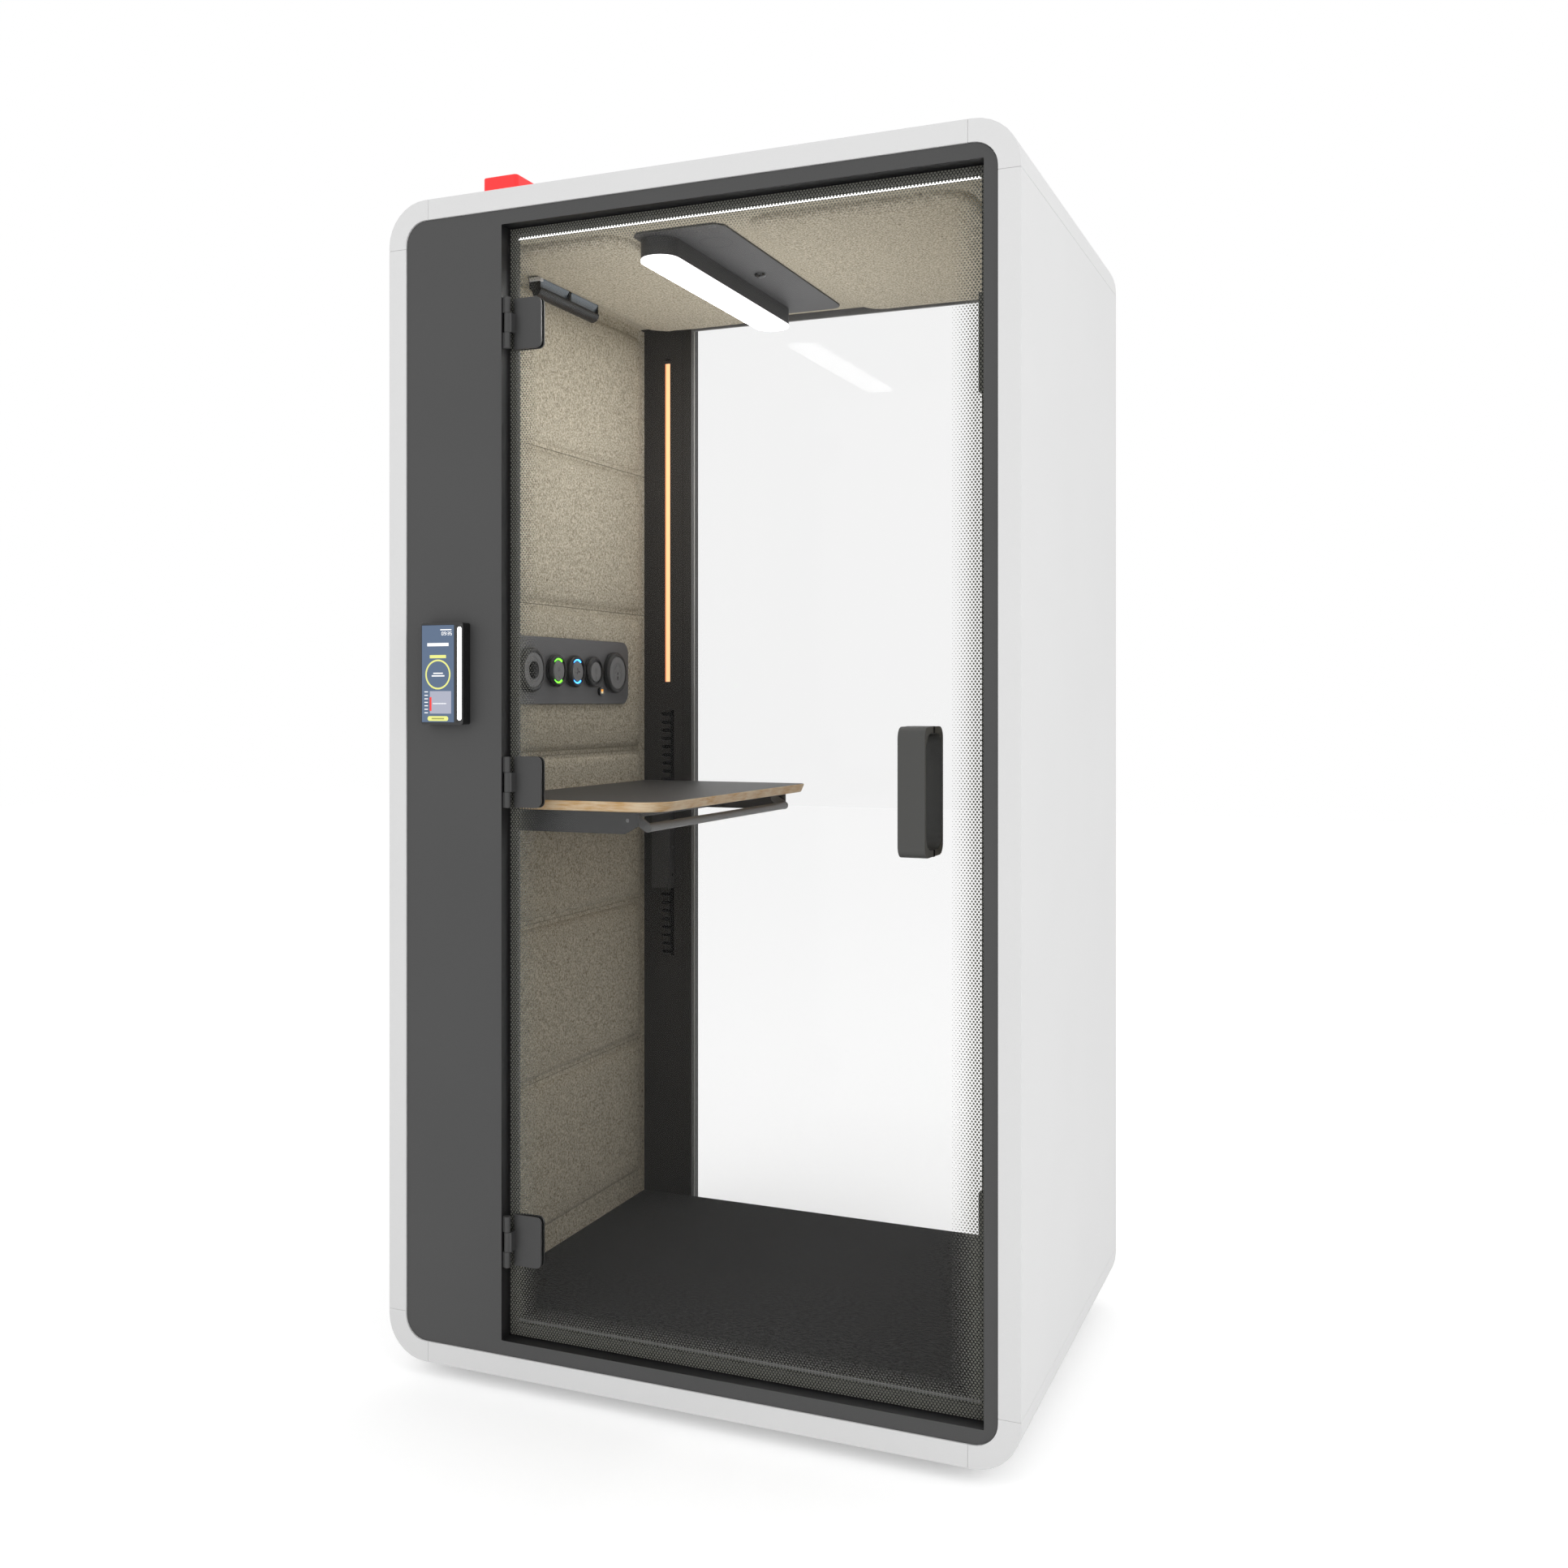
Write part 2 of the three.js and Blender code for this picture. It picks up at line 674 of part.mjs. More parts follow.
// One hinge: two fixed knuckles with the pin on the frame, one turning knuckle on a plate that clamps the
// glass, and a second clamp plate behind the glass.
function makeHinge(level, z) {
  const bottom = z - hingeHeight / 2;
  const top = z + hingeHeight / 2;
  const lugX = [openingLeft, barrelX];
  const lugY = [barrelY - frameLugDepth / 2, barrelY + frameLugDepth / 2];
  const lowerZ = [bottom, bottom + knuckleHeight];
  const upperZ = [top - knuckleHeight, top];
  const frameLeaf = joined(
    rodZ(pinRadius, barrelX, barrelY, [bottom + overrun, top - overrun]),
    rodZ(knuckleRadius, barrelX, barrelY, lowerZ),
    rodZ(knuckleRadius, barrelX, barrelY, upperZ),
    box(lugX, lugY, lowerZ),
    box(lugX, lugY, upperZ),
  );
  add(`hinge_${level}_frame_leaf`, frameLeaf, materials.steel);

  const turningZ = [lowerZ[1] + knuckleGap, upperZ[0] - knuckleGap];
  const leafX = [barrelX + leafFromBarrel, barrelX + leafFromBarrel + leafWidth];
  const corners = [0, leafCorner, leafCorner, 0];
  const leafShape = roundedRectangle(leafX, [bottom, top], corners);
  const webX = [leafX[0] - overrun, leafX[0] - overrun + webThickness];
  const doorLeaf = joined(
    rodZ(knuckleRadius, barrelX, barrelY, turningZ),
    box([barrelX, webX[1]], [barrelY - webThickness / 2, barrelY + webThickness / 2], turningZ),
    box(webX, [barrelY - webThickness / 2, glassFront], turningZ),
    alongY(leafShape, [glassFront - leafThickness, glassFront]),
  );
  const bore = rodZ(pinRadius + pinGap, barrelX, barrelY, [turningZ[0] - overrun, turningZ[1] + overrun]);
  add(`hinge_${level}_door_leaf`, cut(doorLeaf, bore), materials.steel);

  const rearShape = roundedRectangle([leafX[0] + rearLeafTrim, leafX[1]], [bottom, top], corners);
  const rearPlate = alongY(rearShape, [glassRear, glassRear + leafThickness]);
  add(`hinge_${level}_rear_plate`, rearPlate, materials.steel);
}

// A flat strip bent to a D: two legs on the glass and a grip between them.
function handleSolid(glassPlane, side) {
  const right = openingRight - handleFromEdge;
  const z = [openingMiddle - handleHeight / 2, openingMiddle + handleHeight / 2];
  const innerCorner = handleCorner - handleStrip;
  const grip = glassPlane + side * handleReach;
  const outerY = [Math.min(glassPlane, grip), Math.max(glassPlane, grip)];
  const innerY = side < 0
    ? [grip + handleStrip, glassPlane + overrun]
    : [glassPlane - overrun, grip - handleStrip];
  const rounded = (radius) => (side < 0 ? [radius, 0, 0, radius] : [0, radius, radius, 0]);
  const outer = roundedRectangle(outerY, z, rounded(handleCorner));
  const inner = roundedRectangle(innerY, [z[0] + handleStrip, z[1] - handleStrip], rounded(innerCorner));
  const x = [right - handleWidth, right];
  return cut(alongX(outer, x), alongX(inner, [x[0] - overrun, x[1] + overrun]));
}

function makeTablet() {
  const x = [tabletCentreX - tabletWidth / 2, tabletCentreX + tabletWidth / 2];
  const z = [tabletCentreZ - tabletHeight / 2, tabletCentreZ + tabletHeight / 2];
  const front = frameFront - tabletDepth;
  const inlayY = [front, front + tabletInlay];
  const inlayZ = [tabletCentreZ - screenHeight / 2, tabletCentreZ + screenHeight / 2];
  const screenX = [x[0] + tabletMargin, x[0] + tabletMargin + screenWidth];
  const barX = [x[1] - tabletMargin - lightBarWidth, x[1] - tabletMargin];
  const wider = (span) => [span[0] - inlayGap, span[1] + inlayGap];
  const pocketY = [front - overrun, inlayY[1]];
  const body = cut(
    alongY(roundedRectangle(x, z, tabletCorner, smallFacets), [front, frameFront]),
    box(wider(screenX), pocketY, wider(inlayZ)),
    box(wider(barX), pocketY, wider(inlayZ)),
  );
  add('tablet_body', body, materials.plastic);
  add('tablet_screen', box(screenX, inlayY, inlayZ), materials.screen);
  add('tablet_light_bar', box(barX, inlayY, inlayZ), materials.lamp);
}

function makeRoofLight() {
  const beaconCentreX = -halfWidth + beaconFromSide;
  const x = [beaconCentreX - beaconSize / 2, beaconCentreX + beaconSize / 2];
  const front = shellFront + beaconFromFront;
  const outline = roundedRectangle(x, [front, front + beaconSize], beaconCorner);
  add('roof_status_light', alongZ(outline, [shellTop, shellTop + beaconHeight]), materials.redLamp);
}

function makeFloor() {
  const straight = halfWidth - cornerReach;
  const joistX = [-halfInner + leftCavity, straight];
  const boardX = [-halfInner + leftCavity, halfInner - floorSideInset];
  const y = [frameRear, backFrameFront];
  const first = y[0] + joistInset;
  const spacing = (y[1] - y[0] - 2 * joistInset) / (joistCount - 1);
  const joists = Array.from({ length: joistCount }, (_, i) => {
    const centre = first + i * spacing;
    const joistY = [centre - joistWidth / 2, centre + joistWidth / 2];
    return box(joistX, joistY, [innerBottom, floorTop - floorBoard / 2]);
  });
  add('floor_base', joined(box(boardX, y, [floorTop - floorBoard, floorTop]), ...joists), materials.board);
  add('carpet', box([leftWallFace, rightWallFace], y, [floorTop, carpetTop]), materials.carpet);
}

// Seams divide a wall into pads, from the plinth to the top.
function padSpans() {
  const seams = seamRises.map((rise) => carpetTop + rise);
  const padBottom = carpetTop + plinthHeight;
  const padTop = ceilingBottom - padTopMargin;
  const edges = [padBottom, ...seams.flatMap((z) => [z - seamBand / 2, z + seamBand / 2]), padTop];
  return Array.from({ length: edges.length / 2 }, (_, i) => [edges[2 * i], edges[2 * i + 1]]);
}

// One padded wall: a flat fabric backing and a row of pads on it. The wall's pads face +X or -X.
function paddedWall(face, back, side) {
  const y = [frameRear, backFrameFront];
  const padY = [y[0] + padEndMargin, y[1] - padEndMargin];
  const pads = padSpans().map((z) => {
    const upright = side > 0
      ? cushion(padY, z, padCorner, padEdge, padCrown, padSwell, padSink)
      : cushion(z, padY, padCorner, padEdge, padCrown, padSwell, padSink);
    const turn = side > 0
      ? new THREE.Matrix4().set(0, 0, 1, face, 1, 0, 0, 0, 0, 1, 0, 0, 0, 0, 0, 1)
      : new THREE.Matrix4().set(0, 0, -1, face, 0, 1, 0, 0, 1, 0, 0, 0, 0, 0, 0, 1);
    return upright.applyMatrix4(turn);
  });
  const x = [Math.min(face, back), Math.max(face, back)];
  return joined(box(x, y, [floorTop, ceilingBottom]), ...pads);
}

function makeWalls() {
  const windowY = [ventSpan[0] + ventWindowEnd, ventSpan[1] - ventWindowEnd];
  const windowZ = [windowBottom, windowTop];
  const boardX = [-halfInner + leftCavity, leftBoardFace];
  const board = box(boardX, [frameRear, backFrameFront], [floorTop, ceilingBottom]);
  const through = box([boardX[0] - overrun, leftWallFace + overrun], windowY, windowZ);
  add('left_wall_board', cut(board, through), materials.board);
  const notchY = [ventSpan[0] - ventClearance, ventSpan[1] + ventClearance];
  const notchX = [leftWallFace, padTopPlane + overrun];
  const notch = box(notchX, notchY, [ventBottom - ventClearance, ceilingBottom]);
  const leftWall = cut(paddedWall(leftWallFace, leftBoardFace, 1), through, notch);
  add('left_wall_upholstery', leftWall, materials.fabric);
  add('right_wall_upholstery', paddedWall(rightWallFace, rightWallBack, -1), materials.fabric);
}

function makeCeiling() {
  const x = [-halfInner + ceilingSideInset, halfInner - ceilingSideInset];
  const y = [frameRear, backFrameFront - ceilingBackGap];
  add('ceiling_board', box(x, y, [ceilingBottom, ceilingBottom + ceilingBoard]), materials.board);
  const padY = [y[0] + ceilingPadInset, y[1]];
  const turn = new THREE.Matrix4().set(0, 1, 0, 0, 1, 0, 0, 0, 0, 0, -1, ceilingBottom, 0, 0, 0, 1);
  const leftX = [leftWallFace + ventReach + leftPadVentGap, consoleLeft - leftPadConsoleGap];
  const rightX = [consoleRight + rightPadConsoleGap, rightWallFace - rightPadWallGap];
  for (const [side, padX] of [['left', leftX], ['right', rightX]]) {
    const pad = cushion(padY, padX, ceilingPadCorner, ceilingPadEdge, ceilingPadCrown, padSwell, 0);
    add(`ceiling_pad_${side}`, pad.applyMatrix4(turn), materials.fabric);
  }
  const stripX = [leftWallFace + frontStripEndGap, rightWallFace - frontStripEndGap];
  const stripZ = [ceilingBottom - frontStripHeight, ceilingBottom];
  add('front_light_strip', box(stripX, [frameRear, frameRear + frontStripDepth], stripZ), materials.lamp);
}

function makeConsole() {
  const x = [consoleLeft, consoleRight];
  const y = [consoleFront, consoleFront + consoleLength];
  const plate = roundedRectangle(x, y, consoleCorner);
  add('lamp_console', alongZ(plate, [consoleBottom, ceilingBottom]), materials.frame);
  const lampY = [consoleFront + lampFrontInset, consoleFront + lampFrontInset + lampLength];
  const lamp = roundedRectangle([consoleLeft, consoleLeft + lampWidth], lampY, lampCorner);
  add('lamp_housing', alongZ(lamp, [lampBottom, consoleBottom]), materials.frame);
  add('lamp_diffuser', alongZ(lamp, [lampBottom - diffuserHeight, lampBottom]), materials.lamp);
  const profile = domeAngles.map((angle) => {
    const turn = THREE.MathUtils.degToRad(angle);
    return [angle === 90 ? 0 : sensorRadius * Math.cos(turn), -sensorHeight * Math.sin(turn)];
  });
  profile.push([0, 0]);
  const sensorX = consoleLeft + sensorFromLeft;
  const dome = turnedZ(profile, sensorX, consoleFront + sensorFromFront, consoleBottom);
  add('motion_sensor', dome, materials.plastic);
}

// The air outlet is a black scoop with two windows; a long blower wheel turns behind it.
function makeVent() {
  const x = [leftWallFace, leftWallFace + ventReach];
  const outline = roundedRectangle(x, [ventBottom, ventTop], [0, ventCorner, 0, 0]);
  const innerY = [ventSpan[0] + ventWindowEnd, ventSpan[1] - ventWindowEnd];
  const half = ventDivider / 2;
  const windows = [[innerY[0], ventCentreY - half], [ventCentreY + half, innerY[1]]].map((y) => {
    return box([x[0] - overrun, x[1] + overrun], y, [windowBottom, windowTop]);
  });
  add('air_vent', cut(alongY(outline, ventSpan), ...windows), materials.plastic);

  const axisX = -halfInner + leftCavity / 2;
  const axisZ = ventBottom - blowerBelowVent;
  const housingX = [axisX - blowerHousingHeight / 2, -halfInner + leftCavity];
  const housingZ = [axisZ - blowerHousingHeight / 2, axisZ + blowerHousingHeight / 2];
  const endPlates = [[ventSpan[0], ventSpan[0] + blowerPlate], [ventSpan[1] - blowerPlate, ventSpan[1]]];
  const backPlate = box([housingX[0], housingX[0] + blowerPlate / 2], ventSpan, housingZ);
  const motorY = [ventSpan[1] - overrun, ventSpan[1] + blowerMotorLength];
  const housing = cut(
    joined(
      backPlate,
      ...endPlates.map((y) => box(housingX, y, housingZ)),
      rodY(blowerMotorRadius, axisX, motorY, axisZ),
    ),
    rodY(blowerShaftRadius + blowerShaftGap, axisX, [ventSpan[0] - overrun, motorY[1] - blowerPlate], axisZ),
  );
  add('blower_housing', housing, materials.plastic);

  const wheelY = [endPlates[0][1] + blowerEndGap, endPlates[1][0] - blowerEndGap];
  const discs = [
    [wheelY[0], wheelY[0] + blowerDiscThickness],
    [wheelY[1] - blowerDiscThickness, wheelY[1]],
  ].map((y) => rodY(blowerRadius, axisX, y, axisZ));
  const blades = Array.from({ length: blowerBladeCount }, (_, i) => {
    const blade = box(
      [blowerRadius - blowerBladeDepth, blowerRadius - overrun],
      [wheelY[0] + overrun, wheelY[1] - overrun],
      [-blowerBladeThickness / 2, blowerBladeThickness / 2],
    );
    return blade.rotateY((2 * Math.PI * i) / blowerBladeCount).translate(axisX, 0, axisZ);
  });
  const shaft = rodY(blowerShaftRadius, axisX, [ventSpan[0] + overrun, ventSpan[1] - overrun], axisZ);
  add('blower_wheel', joined(shaft, ...discs, ...blades), materials.plastic);
}

function makeDesk() {
  const top = roundedRectangle(
    [deskLeft, deskRight],
    [deskFront, deskBack],
    [deskWallCorner, deskFrontCorner, deskBackCorner, deskWallCorner],
  );
  add('desk_top', alongZ(top, [deskBottom, deskTopHeight]), materials.laminate);

  const frameX = [deskLeft + deskFrameLeftInset, deskRight - deskFrameRightInset];
  const frameZ = [deskBottom - deskFrameHeight, deskBottom];
  const crossShape = new THREE.Shape([
    new THREE.Vector2(frameX[0], frameZ[0]),
    new THREE.Vector2(frameX[1] - deskFrameChamferX, frameZ[0]),
    new THREE.Vector2(frameX[1], frameZ[0] + deskFrameChamferZ),
    new THREE.Vector2(frameX[1], frameZ[1]),
    new THREE.Vector2(frameX[0], frameZ[1]),
  ]);
  crossShape.holes.push(circleHole(barPivotX, barPivotZ, barPinRadius + barPinGap));
  const frontWall = [deskFrameFront, deskFrameFront + deskFrameWall];
  const backWall = [deskFrameBack - deskFrameWall, deskFrameBack];
  const railRight = deskRight - deskFrameRailInset;
  const length = [deskFrameFront + overrun, deskFrameBack - overrun];
  const railZ = [frameZ[0] + deskRailInset, frameZ[1] - deskRailInset];
  const deskFrame = joined(
    alongY(crossShape, frontWall),
    alongY(crossShape, backWall),
    box([frameX[0] + deskRailInset, frameX[0] + deskRailInset + deskFrameWall], length, railZ),
    box([railRight - deskFrameWall, railRight], length, railZ),
  );
  add('desk_frame', deskFrame, materials.steel);

  const carriageRight = rackRight + carriageLip;
  const carriageX = [carriageRight - carriageWidth, carriageRight];
  const carriageZ = [deskBottom - carriageTopGap - carriageDrop, deskBottom - carriageTopGap];
  const frontY = [deskFrameFront - carriageDepth, deskFrameFront];
  const backY = [deskFrameBack, deskFrameBack + carriageDepth];
  add('desk_carriage_front', box(carriageX, frontY, carriageZ), materials.steel);
  add('desk_carriage_back', box(carriageX, backY, carriageZ), materials.steel);

  const armFront = [frontWall[1] + barFrontArmGap, frontWall[1] + barFrontArmGap + barArm];
  const armBack = [backWall[0] - barArmGap - barArm, backWall[0] - barArmGap];
  const frontPin = [frontWall[0] + barPinInset, armFront[0] + overrun];
  const backPin = [armBack[1] - overrun, backWall[1] - barPinInset];
  const releaseBar = joined(
    rodY(barRadius, barX, [armFront[0], armBack[1]], barZ),
    alongY(armShape(), armFront),
    alongY(armShape(), armBack),
    rodY(barPinRadius, barPivotX, frontPin, barPivotZ),
    rodY(barPinRadius, barPivotX, backPin, barPivotZ),
  );
  add('desk_release_bar', releaseBar, materials.steel);
}

// The crank arm between the release bar and its pivot, round at both ends.
function armShape() {
  const along = Math.atan2(barZ - barPivotZ, barX - barPivotX);
  const quarter = Math.PI / 2;
  return new THREE.Shape([
    ...arc(barPivotX, barPivotZ, barArmRadius, along + quarter, along + 3 * quarter, arcFacets),
    ...arc(barX, barZ, barArmRadius, along - quarter, along + quarter, arcFacets),
  ]);
}

// A round module or knob: a black tyre-like rim with a flat face set into it.
function moduleProfile(radius, faceRadius, reach) {
  return [
    [0, 0],
    [radius - rimRound / 2, 0],
    [radius, rimRound / 2],
    [radius, reach - rimRound],
    [radius - rimShoulder, reach - rimShoulder],
    [radius - rimRound, reach],
    [faceRadius, reach],
    [faceRadius, reach - faceRecess],
    [0, reach - faceRecess],
  ];
}

function makeControls() {
  const y = [plateCentreY - plateLength / 2, plateCentreY + plateLength / 2];
  const z = [plateCentreZ - plateHeight / 2, plateCentreZ + plateHeight / 2];
  const portProfile = [[0, -overrun], [portRadius, -overrun], [portRadius, portReach], [0, portReach]];
  const portY = plateCentreY + portOffsetY;
  const portZ = plateCentreZ + portOffsetZ;
  const plate = joined(
    alongX(roundedRectangle(y, z, plateCorner), [plateBack, plateFace]),
    turnedX(portProfile, plateFace, portY, portZ),
  );
  add('control_plate', plate, materials.laminate);

  const lensProfile = moduleProfile(moduleRadius, moduleFaceRadius, moduleReach).slice(0, -1);
  const lensTop = moduleReach - faceRecess;
  lensProfile.push([lensRadius, lensTop]);
  lensProfile.push([lensShoulderRadius, lensTop + lensShoulderRise]);
  lensProfile.push([0, lensTop + lensRise]);
  const lensY = plateCentreY - moduleOffset;
  add('lens_module', turnedX(lensProfile, plateFace, lensY, plateCentreZ), materials.plastic);
  const chargeProfile = moduleProfile(moduleRadius, moduleFaceRadius, moduleReach);
  const chargeY = plateCentreY + moduleOffset;
  add('charging_module', turnedX(chargeProfile, plateFace, chargeY, plateCentreZ), materials.plastic);

  const knobProfile = moduleProfile(knobRadius, knobFaceRadius, moduleReach - knobGap);
  for (const [name, offset] of [['light_knob', -knobOffset], ['fan_knob', 0], ['mood_knob', knobOffset]]) {
    const knob = turnedX(knobProfile, plateFace + knobGap, plateCentreY + offset, plateCentreZ);
    add(name, knob, materials.plastic);
  }
}

makeShell();
makeFrames();
makeDoorSeal();
makeDoor();
makeTablet();
makeRoofLight();
makeFloor();
makeWalls();
makeCeiling();
makeConsole();
makeVent();
makeDesk();
makeControls();

export default pod;
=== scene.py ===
# %% [markdown]
# # A one-person acoustic office pod
# The pod is a pale ring-shaped shell with a dark frame, a glass door, a glass back wall, padded walls and
# ceiling, a desk that hangs on two racks, and some lamps and controls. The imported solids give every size
# and every place. This lesson dresses them: hard edges get a small rounding, cloth becomes cloth, glass
# becomes glass, and the small things that make the pod real are modelled one by one.

import json
import math

import bpy
from mathutils import Matrix, Vector


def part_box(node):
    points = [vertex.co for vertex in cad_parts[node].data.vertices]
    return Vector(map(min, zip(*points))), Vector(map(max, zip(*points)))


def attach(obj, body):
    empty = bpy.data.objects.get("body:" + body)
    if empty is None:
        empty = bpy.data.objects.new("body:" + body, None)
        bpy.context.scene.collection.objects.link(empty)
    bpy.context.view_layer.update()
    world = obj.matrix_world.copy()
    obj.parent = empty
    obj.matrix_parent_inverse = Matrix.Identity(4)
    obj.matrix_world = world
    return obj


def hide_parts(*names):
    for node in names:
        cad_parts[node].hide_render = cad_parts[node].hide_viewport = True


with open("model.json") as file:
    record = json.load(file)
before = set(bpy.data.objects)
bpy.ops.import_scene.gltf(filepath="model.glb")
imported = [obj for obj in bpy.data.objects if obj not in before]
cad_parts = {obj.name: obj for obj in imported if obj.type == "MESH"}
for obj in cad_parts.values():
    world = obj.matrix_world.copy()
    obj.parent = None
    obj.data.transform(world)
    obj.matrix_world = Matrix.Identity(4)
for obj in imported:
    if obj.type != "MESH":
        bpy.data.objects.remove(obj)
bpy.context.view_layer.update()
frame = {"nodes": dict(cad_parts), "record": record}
nodes = frame["nodes"]
scene = bpy.context.scene
scene.view_settings.view_transform = "Standard"
MM = 0.001


def mm(x, y, z):
    """A place or a step that is written in millimetres, in metres."""
    return Vector((x, y, z)) * MM


# %% [markdown]
# ## Camera
# The pod is seen from its right front, at eye height, with verticals kept upright. A level camera with a
# small vertical shift does that, as an architect's lens does; tilting the camera would make the walls lean.

# %% Camera
eye = (1.2328, -2.9196, 1.3194)
bpy.ops.object.camera_add(location=eye, rotation=(math.radians(90), 0, math.radians(22.347)))
camera = bpy.context.object
camera.data.lens = 35
camera.data.sensor_width = 36
camera.data.shift_y = -0.0528
scene.camera = camera
print("camera at", eye)

# %% [markdown]
# ## Helpers for finishes
# Every finish is a Principled shader with a few texture nodes in front of it. Colours are written as hex
# values, so one function turns them to the linear values that shaders use.
# Pattern sizes are real sizes in millimetres, so another function turns a size into a texture scale.


# %% Helpers for finishes
def linear(colour):
    """A hex colour as the linear red, green, blue and alpha of a shader."""
    channels = [int(colour[i : i + 2], 16) / 255 for i in (1, 3, 5)]
    return [c / 12.92 if c <= 0.04045 else ((c + 0.055) / 1.055) ** 2.4 for c in channels] + [1]


def add_node(tree, kind, inputs=None, out=0, to=None, **settings):
    """Adds a node with its settings and inputs; returns an output, and links it to a socket if to is one."""
    made = tree.nodes.new("ShaderNode" + kind)
    for name, value in settings.items():
        setattr(made, name, value)
    for name, value in (inputs or {}).items():
        if isinstance(value, bpy.types.NodeSocket):
            tree.links.new(value, made.inputs[name])
        else:
            made.inputs[name].default_value = value
    if to is not None:
        tree.links.new(made.outputs[out], to)
    return made.outputs[out]


def new_material(name, colour, roughness, **more):
    """A material with its Principled shader's own values set; more holds other sockets by name."""
    material = bpy.data.materials.new(name)
    material.use_nodes = True
    shader = material.node_tree.nodes["Principled BSDF"]
    shader.inputs["Base Color"].default_value = linear(colour)
    shader.inputs["Roughness"].default_value = roughness
    for socket, value in more.items():
        shader.inputs[socket.replace("_", " ")].default_value = value
    return material, material.node_tree, shader


def per_size(size):
    """The texture scale at which one cell of a pattern is size millimetres wide."""
    return 1 / (size * MM)


def object_place(tree):
    """Object coordinates: metres in the pod's own frame, the same on every piece."""
    return add_node(tree, "TexCoord", out="Object")


print("helpers ready")

# %% [markdown]
# ## Powder coat and laminate
# The frames, hinges and desk steel are powder coated: a baked plastic film that is matt, with a faint
# orange-peel ripple and a fine speckle. The shell is a pale satin laminate, which is smoother. Both are the
# same idea at different strengths, so one function makes them. The ripple is about a millimetre wide on the
# real thing; it is drawn a little wider, so that it shows.


# %% Powder coat and laminate
def coated(name, colour, shade, roughness, ripple, depth):
    """A coated sheet: colour drifts to shade in a fine speckle, and a ripple of that size dents it."""
    material, tree, shader = new_material(name, colour, roughness)
    place = object_place(tree)
    speckle = add_node(tree, "TexNoise", {"Vector": place, "Scale": per_size(ripple * 0.8), "Detail": 2.0})
    broad = add_node(tree, "TexNoise", {"Vector": place, "Scale": per_size(260), "Detail": 1.0})
    drift = add_node(tree, "Math", {0: speckle, 1: broad}, operation="MULTIPLY")
    tint = {"Factor": drift, 6: linear(colour), 7: linear(shade)}
    add_node(tree, "Mix", tint, 2, shader.inputs["Base Color"], data_type="RGBA")
    gloss = {"Value": speckle, "To Min": roughness - 0.06, "To Max": roughness + 0.06}
    add_node(tree, "MapRange", gloss, to=shader.inputs["Roughness"])
    peel = add_node(tree, "TexNoise", {"Vector": place, "Scale": per_size(ripple), "Detail": 3.0})
    dents = {"Height": peel, "Strength": depth, "Distance": 0.2 * MM}
    add_node(tree, "Bump", dents, to=shader.inputs["Normal"])
    return material


shell_laminate = coated("shell_laminate", "#e1e1e1", "#dadada", 0.5, 2.2, 0.1)
frame_coat = coated("frame_powder_coat", "#474747", "#3e3e3e", 0.55, 2.0, 0.3)
steel_coat = coated("steel_powder_coat", "#3f3f3f", "#343434", 0.45, 1.6, 0.25)
console_coat = coated("console_powder_coat", "#4a4a4b", "#414142", 0.5, 1.8, 0.3)
plate_coat = coated("control_plate_coat", "#5d5d5f", "#4e4e50", 0.5, 1.8, 0.3)
desk_laminate = coated("desk_laminate", "#4a4948", "#403f3e", 0.5, 2.0, 0.2)
pull_coat = coated("pull_powder_coat", "#444442", "#3a3a38", 0.5, 1.6, 0.25)
bar_coat = coated("bar_powder_coat", "#7a7a7a", "#6c6c6c", 0.45, 1.6, 0.2)
# The back column's coat is a darker, warmer copy of the frame's coat: painted shade, and the warm light off
# the cloth, for the inside of the pod.
column_shaded_coat = coated("column_shaded_powder_coat", "#302e2d", "#282625", 0.55, 2.0, 0.3)
print("coated sheets ready")

# %% [markdown]
# ## Plastics and rubber
# The vent, the tablet's case and the rims of the controls are moulded plastic; the seal and the feet are
# rubber. A moulding has a fine grain from its tool, which a small noise bump gives, and rubber is the same
# with a rougher surface.


# %% Plastics and rubber
def moulded(name, colour, roughness, grain, depth, **more):
    """Moulded plastic or rubber with an even grain of that size in millimetres."""
    material, tree, shader = new_material(name, colour, roughness, **more)
    pits = add_node(tree, "TexNoise", {"Vector": object_place(tree), "Scale": per_size(grain), "Detail": 2.0})
    dents = {"Height": pits, "Strength": depth, "Distance": 0.1 * MM}
    add_node(tree, "Bump", dents, to=shader.inputs["Normal"])
    worn = {"Value": pits, "To Min": roughness - 0.05, "To Max": roughness + 0.05}
    add_node(tree, "MapRange", worn, to=shader.inputs["Roughness"])
    return material


black_rubber = moulded("black_rubber", "#171717", 0.8, 1.2, 0.3)
satin_black = moulded("satin_black_plastic", "#1b1b1c", 0.38, 1.0, 0.15)
vent_black = moulded("vent_black_plastic", "#191a1b", 0.35, 1.2, 0.15)
rim_black = moulded("rim_black_plastic", "#1a1a1a", 0.42, 0.8, 0.15)
grey_face = moulded("control_face_plastic", "#737374", 0.5, 1.0, 0.15)
print_grey = moulded("print_ink", "#343435", 0.6, 1.0, 0.1)
